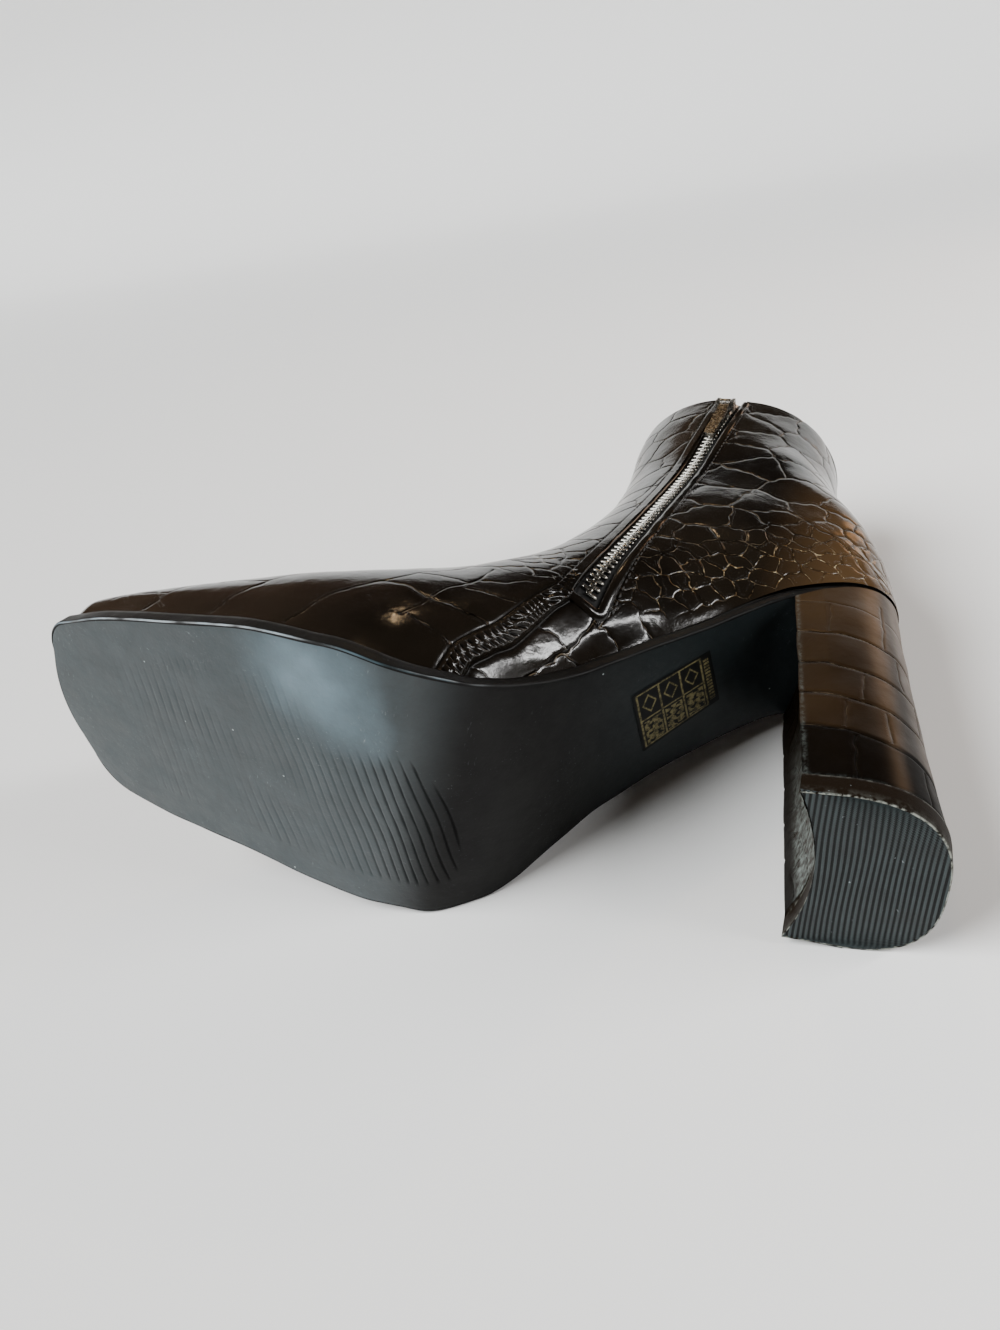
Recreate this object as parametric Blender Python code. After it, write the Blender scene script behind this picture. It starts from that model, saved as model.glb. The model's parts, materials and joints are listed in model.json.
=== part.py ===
"""A square-toed ankle boot with a flared block heel, for the right foot, lying on its outer side.

The boot is modelled upright in its own frame, in millimetres: x runs from the back of the top lift
to the toe, y to the inner side of the foot, z up from the ground that the boot would stand on.
Every length is turned to metres as its mesh is made. At the end an empty lays the boot down.
"""

import math

import bmesh
import bpy
import numpy as np
from mathutils import Matrix, Vector
from mathutils.bvhtree import BVHTree

MM = 0.001

# ---------------------------------------------------------------- driving sizes, mm
GAP = 0.3              # between two pieces that touch on the real boot
WALL = 2.0             # upper: leather, backing and lining together
INSOLE = 2.2           # insole board with its sock
INSOLE_SIDE = 1.6      # room between the insole and the wall round it
FEATHER = 0.45         # between the outsole's top and the upper's lower edge
TOE_BOW = 3.0          # how far the middle of the square toe stands before its corners
TOE_BOW_START = 198.0  # x where the rows across the sole begin to bow
TOE_CORNER_INNER = 8.0
TOE_CORNER_OUTER = 11.0
SEAT_ROUND = 26.0      # length over which the heel seat rounds to its back
SEAT_POWER = 2.6       # superellipse power of that rounding
HEEL_ROUND = 23.0      # length over which the heel block's plan rounds to its back
HEEL_HOLLOW = 0.9      # hollow of the heel's back line
LIFT = 6.0             # thickness of the top lift
LIFT_LIP = 0.4         # how far the lift stands out round the heel block
EDGE = 0.8             # small chamfer round the outsole and the lift

# The outsole, a row for each station along the ground, from the back of the seat to the toe.
SOLE_COLUMNS = ("x", "inner", "outer", "under", "thick", "margin")
SOLE_ROWS = (
    # x     inner  outer  underside's  thickness  edge beyond
    #                     height                  the upper
    (12.0, 19.0, 23.5, 96.3, 2.0, -1.5),
    (42.5, 18.8, 23.5, 81.4, 2.4, -1.0),
    (46.5, 18.0, 23.8, 79.3, 2.6, -0.8),
    (64.5, 15.6, 26.2, 62.9, 3.4, 0.3),
    (88.0, 14.9, 32.9, 38.7, 4.0, 0.8),
    (112.0, 28.8, 42.1, 6.6, 4.0, 1.0),
    (128.0, 36.4, 44.0, 0.0, 4.0, 1.0),
    (140.0, 38.9, 44.0, 0.0, 4.0, 1.0),
    (156.0, 39.2, 42.6, 1.4, 4.0, 1.0),
    (180.0, 36.0, 37.4, 3.9, 4.0, 1.0),
    (204.0, 31.8, 33.6, 6.7, 4.0, 1.0),
    (230.0, 24.5, 26.4, 9.6, 4.0, 1.0),
)

# The heel block's two ends: D shapes with a hollow breast.
HEEL_COLUMNS = ("back", "breast", "inner", "outer", "inner_breast", "outer_breast", "hollow")
HEEL_FOOT = (0.0, 33.3, 19.8, 25.4, 18.8, 25.8, 5.2)
HEEL_TOP = (12.0, 42.5, 20.0, 24.5, 18.8, 23.5, 4.4)

# The upper's foot sections. Each stands on the outsole at a station and ends on the ridge line over
# the toe, vamp and instep; inner and outer are its greatest half widths, belly is the share of its
# height where it is widest, and power rounds it over the top.
FOOT_COLUMNS = ("station", "top_x", "top_z", "inner", "outer", "belly", "power", "ridge")
FOOT_ROWS = (
    (229.0, 229.0, 13.9, 24.5, 26.4, 0.45, 2.7, -1.5),
    (228.0, 228.6, 21.0, 24.8, 26.8, 0.45, 2.7, -1.5),
    (223.0, 223.5, 26.3, 26.4, 28.2, 0.42, 2.6, -1.0),
    (214.0, 213.0, 30.8, 28.8, 30.8, 0.38, 2.5, 0.0),
    (200.0, 199.0, 36.4, 31.8, 33.8, 0.34, 2.4, 1.5),
    (180.0, 180.0, 44.5, 35.4, 37.4, 0.30, 2.3, 3.0),
    (156.0, 161.0, 54.0, 38.4, 41.8, 0.26, 2.2, 5.0),
    (134.0, 146.0, 64.8, 37.6, 42.6, 0.26, 2.1, 6.0),
    (112.0, 132.0, 79.5, 33.4, 41.0, 0.30, 2.0, 6.0),
    (88.0, 121.5, 98.0, 29.0, 35.2, 0.34, 2.0, 5.0),
    (64.5, 116.0, 121.0, 28.0, 31.2, 0.36, 2.0, 3.0),
    (42.5, 114.5, 143.0, 28.5, 29.8, 0.38, 2.0, 1.0),
    (10.5, 115.0, 162.0, 28.6, 29.8, 0.42, 2.0, -0.5),
)

# The upper's shaft sections, from the back line to the front line, up to the collar.
SHAFT_COLUMNS = ("back_x", "back_z", "top_x", "top_z", "inner", "outer", "belly", "power", "ridge")
SHAFT_ROWS = (
    (15.0, 116.0, 115.6, 173.0, 28.8, 30.2, 0.46, 2.0, -1.0),
    (22.5, 135.0, 116.6, 183.0, 29.2, 31.0, 0.50, 2.0, -1.5),
    (30.8, 156.0, 117.8, 193.0, 29.8, 32.4, 0.52, 2.0, -2.0),
    (35.5, 180.0, 118.6, 200.0, 30.4, 34.2, 0.52, 2.0, -2.0),
    (36.5, 206.0, 119.0, 208.0, 31.0, 35.6, 0.52, 2.0, -2.0),
)
COUNTER_POWER = 2.6    # superellipse power of the counter's rounding, down at the seat
SHAFT_POWER = 2.1      # and up at the collar
COUNTER_ROUND = 28.0   # length of that rounding at the seat
COUNTER_SWELL = 26.0   # height over which the counter leaves the seat's own outline
SHAFT_ROUND = 42.0     # and at the collar
CENTRE = -2.5          # y of the back seam

# The zip, on the inner side: straight up the shaft, as seen from the side, and out at the collar.
ZIP_FOOT = (95.5, 53.0)
ZIP_TOP = (80.0, 204.0)
ZIP_SLOT = 8.6         # width of the slot in the upper
ZIP_SINK = 0.5         # the tape lies this far under the leather's face
ZIP_THICK = 1.3
SLOT_DEPTH = (8.0, 60.0)  # the slot is cut between these two y, through the inner wall only
SLOT_BEYOND = 20.0     # the cut runs on past the collar by this much
SLIDER_AT = 0.93       # share of the zip's length where the slider stands
SLIDER_LONG = 11.0
SLIDER_WIDE = 7.2
SLIDER_HIGH = 2.2
SLIDER_BEVEL = 0.6     # height of the bevel round the slider's face
SLIDER_FACE = 0.86     # size of the face inside that bevel, as a share of the plate
EAR_LONG = 3.4
EAR_THICK = 1.2
PIN_RADIUS = 0.7
EYE_HOLE = 1.0
EYE_RADIUS = 1.7
PULL_LONG = 24.0
PULL_WIDE = 4.0
PULL_THICK = 1.2
PULL_DROOP = math.radians(7.0)  # the pull leans towards the leather by this much

# Half of the slider's plan, from its tail to its nose: shares of its half length and half width.
SLIDER_COLUMNS = ("along", "across")
SLIDER_PLAN = (
    (-1.00, 0.61),
    (-0.86, 0.83),
    (0.00, 0.89),
    (0.56, 1.00),
    (0.89, 1.00),
    (1.00, 0.78),
)


# ---------------------------------------------------------------- curves and tables
def through(x, y, at):
    """A cubic through the points (x, y) that never swings past them, read at the positions `at`."""
    x, y, at = (np.asarray(v, float) for v in (x, y, at))
    step = np.diff(x)
    rise = np.diff(y) / step
    slope = np.empty_like(y)
    slope[0], slope[-1] = rise[0], rise[-1]
    with np.errstate(divide="ignore", invalid="ignore"):
        weight_a = 2 * step[1:] + step[:-1]
        weight_b = step[1:] + 2 * step[:-1]
        mean = (weight_a + weight_b) / (weight_a / rise[:-1] + weight_b / rise[1:])
    slope[1:-1] = np.where(rise[:-1] * rise[1:] > 0, mean, 0.0)
    k = np.clip(np.searchsorted(x, at) - 1, 0, len(x) - 2)
    t = np.clip((at - x[k]) / step[k], 0, 1)
    return (
        y[k] * (1 + 2 * t) * (1 - t) ** 2
        + y[k + 1] * t * t * (3 - 2 * t)
        + step[k] * t * (1 - t) * (slope[k] * (1 - t) - slope[k + 1] * t)
    )


def table(columns, rows):
    """A table as a dict of one array for each named column."""
    return dict(zip(columns, np.array(rows, float).T))


SOLE = table(SOLE_COLUMNS, SOLE_ROWS)
FOOT = table(FOOT_COLUMNS, FOOT_ROWS)
SHAFT = table(SHAFT_COLUMNS, SHAFT_ROWS)
SEAT_BACK, TOE_FRONT = SOLE["x"][0], SOLE["x"][-1]


def sole(column, x):
    return through(SOLE["x"], SOLE[column], x)


def bed(x, rise):
    """Side-view point (x, z) at a height `rise` square to the outsole's underside over station x."""
    d = 0.05
    slope = (sole("under", x + d) - sole("under", x - d)) / (2 * d)
    slope = np.where(x < SOLE["x"][0] + d, -np.diff(SOLE["under"])[0] / -np.diff(SOLE["x"])[0], slope)
    slope = np.where(x > TOE_FRONT - d, np.diff(SOLE["under"])[-1] / np.diff(SOLE["x"])[-1], slope)
    under = sole("under", x) + slope * (np.minimum(x - SEAT_BACK, 0) + np.maximum(x - TOE_FRONT, 0))
    length = np.sqrt(1 + slope**2)
    return x - slope * rise / length, under + rise / length


def rounding(distance, length, power):
    """0 at an end, 1 from `length` on: the quarter of a superellipse."""
    u = np.clip(distance / length, 0, 1)
    return (1 - (1 - u) ** power) ** (1 / power)


def corner(x, front, radius):
    """How much a toe corner of this radius cuts off the half width at x."""
    e = np.clip((x - front + radius) / radius, 0, 1)
    return radius * (1 - np.sqrt(1 - e * e))


def outline(x, grow):
    """Inner and outer edge (both as y) of the outsole's plan at station x, grown by `grow`."""
    seat = rounding(x - SEAT_BACK + grow, SEAT_ROUND, SEAT_POWER)
    front = TOE_FRONT + grow
    inner = sole("inner", x) + grow - corner(x, front, TOE_CORNER_INNER)
    outer = -sole("outer", x) - grow + corner(x, front, TOE_CORNER_OUTER)
    return CENTRE + (inner - CENTRE) * seat, CENTRE + (outer - CENTRE) * seat


def bow(x, across):
    """How far a point of a row near the toe lies back from the row's middle; across is -1 to 1."""
    share = np.clip((x - TOE_BOW_START) / (TOE_FRONT - TOE_BOW_START), 0, 1)
    return TOE_BOW * share**2 * across**2


# ---------------------------------------------------------------- meshes and materials
def material(name, colour, roughness, metallic=0.0):
    made = bpy.data.materials.new(name)
    made.use_nodes = True
    shader = made.node_tree.nodes["Principled BSDF"]
    shader.inputs["Base Color"].default_value = (*colour, 1.0)
    shader.inputs["Roughness"].default_value = roughness
    shader.inputs["Metallic"].default_value = metallic
    return made


def piece(name, points, faces, finish):
    """A new object from points in millimetres; its faces are turned to point outwards."""
    mesh = bpy.data.meshes.new(name)
    mesh.from_pydata((np.asarray(points) * MM).tolist(), [], faces)
    work = bmesh.new()
    work.from_mesh(mesh)
    bmesh.ops.remove_doubles(work, verts=work.verts, dist=1e-7)
    bmesh.ops.recalc_face_normals(work, faces=work.faces)
    work.to_mesh(mesh)
    work.free()
    mesh.materials.append(finish)
    mesh.shade_smooth()
    mesh.set_sharp_from_angle(angle=math.radians(35))
    made = bpy.data.objects.new(name, mesh)
    bpy.context.collection.objects.link(made)
    return made


def skin(rings):
    """Points and faces of closed rings, shape (rings, points, 3), skinned in turn and capped."""
    count, size, _ = rings.shape
    index = np.arange(count * size).reshape(count, size)
    ahead = np.roll(index, -1, axis=1)
    sides = np.stack([index[:-1], ahead[:-1], ahead[1:], index[1:]], axis=-1).reshape(-1, 4)
    return rings.reshape(-1, 3), sides.tolist() + [index[0].tolist(), index[-1].tolist()]


def evaluated(obj):
    """Points in metres and triangles of an object with its modifiers."""
    graph = bpy.context.evaluated_depsgraph_get()
    mesh = obj.evaluated_get(graph).to_mesh()
    mesh.calc_loop_triangles()
    points = np.array([v.co[:] for v in mesh.vertices])
    faces = np.array([t.vertices[:] for t in mesh.loop_triangles])
    return points @ np.array(obj.matrix_world.to_3x3()).T + np.array(obj.matrix_world.translation), faces


# ---------------------------------------------------------------- outsole and insole
def stations(back, front):
    """Stations from the back of the seat to the toe, closer where the plan turns its corners."""
    seat = back + (SEAT_ROUND - 4) * (1 - np.cos(np.linspace(0.14, 1, 8) * math.pi / 2))
    toe = front - (TOE_CORNER_OUTER + 1) * (1 - np.sin(np.linspace(0, 1, 7) * math.pi / 2))
    middle = np.linspace(seat[-1], toe[0], 32)[1:-1]
    return np.concatenate([seat, middle, toe])


def board(low, high, grow, edge):
    """Rings across a board that follows the bed from height `low` to `high` above the underside,
    with its lower edge chamfered; low, high and grow are functions of the station."""
    x = stations(SEAT_BACK - grow(SEAT_BACK), TOE_FRONT + grow(TOE_FRONT))
    across = np.linspace(1, -1, 7)
    rings = []
    for station in x:
        inner, outer = outline(station, grow(station))
        middle, half = (inner + outer) / 2, (inner - outer) / 2
        cut = min(edge, half / 3)
        at = [(1.0, low(station) + edge), (1 - cut / half, low(station))]
        under = [(v * (1 - cut / half), low(station)) for v in across[1:-1]]
        at += under + [(-1 + cut / half, low(station)), (-1.0, low(station) + edge)]
        at += [(v, high(station)) for v in across[::-1]]
        ring = []
        for v, rise in at:
            px, pz = bed(station, rise)
            ring.append((px - bow(station, v), middle + half * v, pz))
        rings.append(ring)
    return skin(np.array(rings, float))


def make_outsole(finish):
    """Moulded rubber sole from toe to seat, thinner under the heel, with a rounded square toe."""
    return piece("outsole", *board(
        low=lambda x: 0.0,
        high=lambda x: sole("thick", x),
        grow=lambda x: 0.0,
        edge=EDGE,
    ), finish)


def make_insole(finish):
    """Thin board with its sock, inside the upper's foot."""
    return piece("insole", *board(
        low=lambda x: sole("thick", x) + GAP,
        high=lambda x: sole("thick", x) + GAP + INSOLE,
        grow=lambda x: -sole("margin", x) - WALL - INSOLE_SIDE,
        edge=EDGE / 2,
    ), finish)


# ---------------------------------------------------------------- heel block and top lift
def heel_ring(values, grow=0.0):
    """Plan ring of the heel: inner side, round back, outer side, hollow breast."""
    end = dict(zip(HEEL_COLUMNS, values))
    turn = np.linspace(0, math.pi, 33)
    cosine, sine = np.cos(turn), np.sin(turn)
    back = end["back"] - grow
    widest = end["back"] + HEEL_ROUND
    half = np.where(cosine > 0, end["inner"], end["outer"]) + grow - CENTRE * np.sign(cosine)
    y = CENTRE + half * np.sign(cosine) * np.abs(cosine) ** (2 / SEAT_POWER)
    x = widest - (widest - back) * np.abs(sine) ** (2 / SEAT_POWER)
    share = np.linspace(-1, 1, 13)
    inner, outer = end["inner_breast"] + grow, -end["outer_breast"] - grow
    breast_y = (inner + outer) / 2 + share * (inner - outer) / 2
    breast_x = end["breast"] - end["hollow"] * (1 - share**2)
    return np.concatenate([x, breast_x]), np.concatenate([y, breast_y])


def make_heel_block(finish):
    """Moulded heel under the seat: it flares to the back and down, and its breast is hollow."""
    foot_x, foot_y = heel_ring(HEEL_FOOT)
    top_x, top_y = heel_ring(HEEL_TOP)
    joint_x, top_z = bed(top_x, -GAP)
    rings = []
    for share in np.linspace(0, 1, 9):
        waist = HEEL_HOLLOW * 4 * share * (1 - share)
        backward = (HEEL_FOOT[1] - foot_x) / HEEL_FOOT[1]
        x = foot_x + (joint_x - foot_x) * share + waist * backward
        y = foot_y + (top_y - foot_y) * share
        z = LIFT + GAP + (top_z - LIFT - GAP) * share
        rings.append(np.stack([x, y, z], axis=1))
    return piece("heel_block", *skin(np.array(rings)), finish)


def make_top_lift(finish):
    """Rubber plate that the heel stands on."""
    levels = ((0.0, LIFT_LIP - EDGE), (EDGE, LIFT_LIP), (LIFT, LIFT_LIP))
    rings = []
    for z, grow in levels:
        x, y = heel_ring(HEEL_FOOT, grow)
        rings.append(np.stack([x, y, np.full_like(x, z)], axis=1))
    return piece("top_lift", *skin(np.array(rings)), finish)


# ---------------------------------------------------------------- upper
ROW_AT = np.arange(len(FOOT_ROWS) + len(SHAFT_ROWS), dtype=float)
LAST_FOOT = len(FOOT_ROWS) - 1
CORNER_EASE = 2.4      # rows over which the sections' lower ends round the seat's back corner


def low_end(rows):
    """Side-view points of the sections' lower ends: along the feather line, then up the back."""
    station = through(ROW_AT[: LAST_FOOT + 1], FOOT["station"], np.minimum(rows, LAST_FOOT))
    foot_x, foot_z = bed(station, sole("thick", station) + FEATHER)
    back_x, back_z = back_line()
    shaft_z = through(ROW_AT[LAST_FOOT:], back_z, np.maximum(rows, LAST_FOOT))
    on_sole = rows <= LAST_FOOT
    x = np.where(on_sole, foot_x, through(back_z, back_x, shaft_z))
    return x, np.where(on_sole, foot_z, shaft_z), station


def back_line():
    """Side-view points of the back line, from the seat to the collar."""
    seat_x, seat_z = bed(FOOT["station"][-1], sole("thick", FOOT["station"][-1]) + FEATHER)
    back_x = np.concatenate([[seat_x], SHAFT["back_x"]])
    return back_x, np.concatenate([[seat_z], SHAFT["back_z"]])


def upper_rows():
    """Every section of the upper, as a dict of arrays: the tables' rows with finer ones between.

    Besides its lower end, low, each section has an eased one, which rounds the corner where the
    feather line meets the back line; the section is drawn from there, so that no crease runs up.
    """
    steps = np.concatenate([
        np.linspace(0, 4, 12),
        np.linspace(4, LAST_FOOT - 1, 22)[1:],
        LAST_FOOT - 1 + np.sin(np.linspace(0, 1, 8)[1:] * math.pi / 2),
        LAST_FOOT + np.linspace(0, len(SHAFT_ROWS), 12)[1:],
    ])
    rows = {
        name: through(ROW_AT, np.concatenate([FOOT[name], SHAFT[name]]), steps)
        for name in ("top_x", "top_z", "inner", "outer", "belly", "power", "ridge")
    }
    rows["low_x"], rows["low_z"], rows["station"] = low_end(steps)
    fine = np.linspace(0, ROW_AT[-1], 901)
    reach = round(CORNER_EASE / (fine[1] - fine[0]))
    window = np.hanning(2 * reach + 1)
    for name, path in zip(("eased_x", "eased_z"), low_end(fine)):
        wide = np.pad(path, reach, mode="reflect", reflect_type="odd")
        smooth = np.convolve(wide, window / window.sum(), mode="valid")
        rows[name] = np.interp(steps, fine, smooth)
    return rows


def upper_sheet(columns):
    """The upper's outer face as a grid (sections, points, 3).

    Each section runs from the inner edge of the sole, or from the back seam, up over the ridge and
    down to the outer edge. Its side-view point goes from the low end to the ridge. Its half
    width swells from the sole's edge to the belly, then closes over the ridge as a superellipse, and
    near the back line it is drawn in by the counter's rounding. Points are evenly spaced by length.
    """
    rows = upper_rows()
    back_x, back_z = back_line()
    fine = 1 - np.cos(np.linspace(0, 1, 90) * math.pi / 2)
    share = np.concatenate([fine / 2, 1 - fine[-2::-1] / 2])
    sheet = []
    for i in range(len(rows["low_x"])):
        row = {name: rows[name][i] for name in rows}
        near = (1 - share) ** 4
        x = row["eased_x"] + (row["top_x"] - row["eased_x"]) * share
        z = row["eased_z"] + (row["top_z"] - row["eased_z"]) * share
        x = x + (row["low_x"] - row["eased_x"]) * near
        z = z + (row["low_z"] - row["eased_z"]) * near
        over = np.clip((share - row["belly"]) / (1 - row["belly"]), 0, 1)
        crown = (1 - over ** row["power"]) ** (1 / row["power"])
        swell = np.sin(np.clip(share / row["belly"], 0, 1) * math.pi / 2)
        margin = sole("margin", row["station"])
        edge_inner = sole("inner", row["station"]) - margin
        edge_outer = sole("outer", row["station"]) - margin
        climb = min(max(row["low_z"] - back_z[0], 0) / COUNTER_SWELL, 1)
        risen = climb**2 * (3 - 2 * climb)
        height = np.clip((z - back_z[0]) / (back_z[-1] - back_z[0]), 0, 1)
        drawn = rounding(
            x - through(back_z, back_x, z),
            COUNTER_ROUND + (SHAFT_ROUND - COUNTER_ROUND) * height,
            COUNTER_POWER + (SHAFT_POWER - COUNTER_POWER) * height,
        )
        sides = []
        for side, edge, widest, radius in (
            (1, edge_inner, row["inner"], TOE_CORNER_INNER),
            (-1, edge_outer, row["outer"], TOE_CORNER_OUTER),
        ):
            edge = edge + (widest - edge) * risen
            width = edge + (widest - edge) * swell
            width = width - corner(x, FOOT["station"][0], radius)
            y = row["ridge"] + (side * width - row["ridge"]) * crown
            y = CENTRE + (y - CENTRE) * drawn
            across = np.clip(y / (side * widest), 0, 1)
            sides.append(np.stack([x - bow(x, across), y, z], axis=1))
        line = np.concatenate([sides[0], sides[1][-2::-1]])
        length = np.concatenate([[0], np.cumsum(np.linalg.norm(np.diff(line, axis=0), axis=1))])
        even = np.linspace(0, length[-1], columns)
        sheet.append(np.stack([np.interp(even, length, line[:, k]) for k in range(3)], axis=1))
    return np.array(sheet)


def make_upper(finish):
    """Leather upper with its shaft: one wall, open at the collar and, inside the sole's edge, below."""
    sheet = upper_sheet(columns=33)
    count, size, _ = sheet.shape
    index = np.arange(count * size).reshape(count, size)
    quads = np.stack([index[:-1, :-1], index[:-1, 1:], index[1:, 1:], index[1:, :-1]], axis=-1)
    made = piece("upper", sheet.reshape(-1, 3), quads.reshape(-1, 4).tolist(), finish)
    wall = made.modifiers.new("wall", "SOLIDIFY")
    wall.thickness = WALL * MM
    wall.offset = -1
    return made


# ---------------------------------------------------------------- zip
def zip_side(along, across):
    """Side-view point (x, z) on the zip: mm up its centre line, and mm across towards the toe."""
    (foot_x, foot_z), (top_x, top_z) = ZIP_FOOT, ZIP_TOP
    length = math.hypot(top_x - foot_x, top_z - foot_z)
    up_x, up_z = (top_x - foot_x) / length, (top_z - foot_z) / length
    return foot_x + up_x * along + up_z * across, foot_z + up_z * along - up_x * across


ZIP_LENGTH = math.dist(ZIP_FOOT, ZIP_TOP)


def box_between(name, low, high, place, finish):
    """A box whose corners go from `low` to `high` (three numbers each), each corner put by `place`."""
    corners = [(a, b, c) for c in (low[2], high[2]) for b in (low[1], high[1]) for a in (low[0], high[0])]
    faces = [(0, 1, 3, 2), (4, 6, 7, 5), (0, 4, 5, 1), (1, 5, 7, 3), (3, 7, 6, 2), (2, 6, 4, 0)]
    return piece(name, [place(*corner_at) for corner_at in corners], faces, finish)


def boolean(target, tool, operation):
    """Join a tool to a target, or cut the target with it, and keep the tool out of sight."""
    step = target.modifiers.new(tool.name, "BOOLEAN")
    step.operation = operation
    step.solver = "EXACT"
    step.object = tool
    tool.hide_render = True
    tool.display_type = "WIRE"


def cut_zip_slot(target, finish):
    """Slot in the inner wall of the shaft, closed at the foot and open at the collar."""
    def place(along, across, y):
        x, z = zip_side(along, across)
        return x, y, z

    slot = box_between(
        "zip_slot_cutter",
        (0.0, -ZIP_SLOT / 2, SLOT_DEPTH[0]),
        (ZIP_LENGTH + SLOT_BEYOND, ZIP_SLOT / 2, SLOT_DEPTH[1]),
        place,
        finish,
    )
    boolean(target, slot, "DIFFERENCE")


def face_seeker(obj):
    """A function that gives the y of an object's inner-side face at a side-view point, in mm."""
    points, faces = evaluated(obj)
    tree = BVHTree.FromPolygons(points.tolist(), faces.tolist())
    far_out = 2 * points[:, 1].max()
    inwards = Vector((0, -1, 0))
    return lambda x, z: tree.ray_cast(Vector((x * MM, far_out, z * MM)), inwards)[0].y / MM


def make_zip_chain(face_y, finish):
    """Closed zip: tape and teeth as one strip, sunk into the slot."""
    half = ZIP_SLOT / 2 - GAP
    rings = []
    for along in np.linspace(GAP, ZIP_LENGTH, 33):
        outer = []
        for across in np.linspace(-half, half, 5):
            x, z = zip_side(along, across)
            outer.append((x, face_y(x, z) - ZIP_SINK, z))
        inner = [(x, y - ZIP_THICK, z) for x, y, z in outer[::-1]]
        rings.append(outer + inner)
    return piece("zip_chain", *skin(np.array(rings)), finish)


def slider_frame(face_y):
    """The slider's own frame, on the zip's face: columns up the zip, across it and outwards."""
    middle = SLIDER_AT * ZIP_LENGTH
    half = SLIDER_LONG / 2
    ends = []
    for along in (middle - half, middle + half):
        x, z = zip_side(along, 0)
        ends.append(Vector((x, face_y(x, z) - ZIP_SINK, z)))
    sides = []
    for across in (-SLIDER_WIDE / 2, SLIDER_WIDE / 2):
        x, z = zip_side(middle, across)
        sides.append(Vector((x, face_y(x, z) - ZIP_SINK, z)))
    up = (ends[1] - ends[0]).normalized()
    out = up.cross(sides[1] - sides[0]).normalized()
    out = out if out.y > 0 else -out
    across = out.cross(up)
    x, z = zip_side(middle, 0)
    centre = Vector((x, face_y(x, z) - ZIP_SINK, z))
    frame = Matrix((up, across, out)).transposed().to_4x4()
    frame.translation = centre * MM
    return frame


PIN_RISE = GAP + SLIDER_HIGH + EYE_RADIUS + GAP  # pin's centre over the zip's face


def make_zip_slider(frame, finish):
    """Slider: a waisted plate over the teeth, two ears and the pin that carries the pull."""
    plan = table(SLIDER_COLUMNS, SLIDER_PLAN)
    front = np.stack([plan["along"] * SLIDER_LONG / 2, plan["across"] * SLIDER_WIDE / 2], axis=1)
    loop = np.concatenate([front * (1, -1), front[::-1]])
    top = GAP + SLIDER_HIGH
    rings = []
    for height, size in ((GAP, 1.0), (top - SLIDER_BEVEL, 1.0), (top, SLIDER_FACE)):
        rings.append([(a * size, b * size, height) for a, b in loop])
    slider = piece("zip_slider", *skin(np.array(rings)), finish)
    ear_inside = PULL_WIDE / 2 + GAP
    for side, name in ((-1, "rear_ear"), (1, "front_ear")):
        near, far = sorted((side * ear_inside, side * (ear_inside + EAR_THICK)))
        ear = box_between(
            name,
            (-EAR_LONG / 2, near, GAP + SLIDER_HIGH / 2),
            (EAR_LONG / 2, far, PIN_RISE + EYE_RADIUS * 0.8),
            lambda *at: at,
            finish,
        )
        boolean(slider, ear, "UNION")
        ear.parent = slider
    turn = np.linspace(0, 2 * math.pi, 17)[:-1]
    reach = ear_inside + EAR_THICK / 2
    pin = piece("slider_pin", *skin(np.array([
        [(PIN_RADIUS * math.cos(t), y, PIN_RISE + PIN_RADIUS * math.sin(t)) for t in turn]
        for y in (-reach, reach)
    ])), finish)
    boolean(slider, pin, "UNION")
    pin.parent = slider
    slider.matrix_world = frame
    return slider


def make_zip_pull(frame, finish):
    """Pull tab: an eye round the slider's pin and a flat tongue, its origin on the pin's axis.

    The tongue points down the zip (-x of the slider's frame). Seen along the pin it is a ring whose
    outer circle is drawn out to the tongue's end on one side.
    """
    turn = np.linspace(0, 2 * math.pi, 25)[:-1] + math.pi / 24
    hole = np.stack([EYE_HOLE * np.cos(turn), EYE_HOLE * np.sin(turn)], axis=1)
    rim = hole * EYE_RADIUS / EYE_HOLE
    thin = PULL_THICK / 2
    tongue = (rim[:, 0] < 0) & (np.abs(rim[:, 1]) < thin)
    rim[tongue, 0] = -PULL_LONG
    rim[tongue, 1] = np.sign(rim[tongue, 1]) * thin
    root = (rim[:, 0] < 0) & ~tongue & (np.abs(rim[:, 1]) < thin * 1.5)
    rim[root, 1] = np.sign(rim[root, 1]) * thin
    half = PULL_WIDE / 2
    points = [(x, side, z) for side in (-half, half) for ring in (hole, rim) for x, z in ring]
    count = len(turn)
    ahead = [(i + 1) % count for i in range(count)]
    faces = []
    for i, j in enumerate(ahead):
        near_hole, near_rim, far_hole, far_rim = 0, count, 2 * count, 3 * count
        faces.append((near_hole + i, near_hole + j, near_rim + j, near_rim + i))
        faces.append((far_hole + i, far_rim + i, far_rim + j, far_hole + j))
        faces.append((near_hole + i, far_hole + i, far_hole + j, near_hole + j))
        faces.append((near_rim + i, near_rim + j, far_rim + j, far_rim + i))
    pull = piece("zip_pull", points, faces, finish)
    droop = Matrix.Rotation(-PULL_DROOP, 4, "Y")
    pull.matrix_world = frame @ Matrix.Translation((0, 0, PIN_RISE * MM)) @ droop
    return pull


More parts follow.
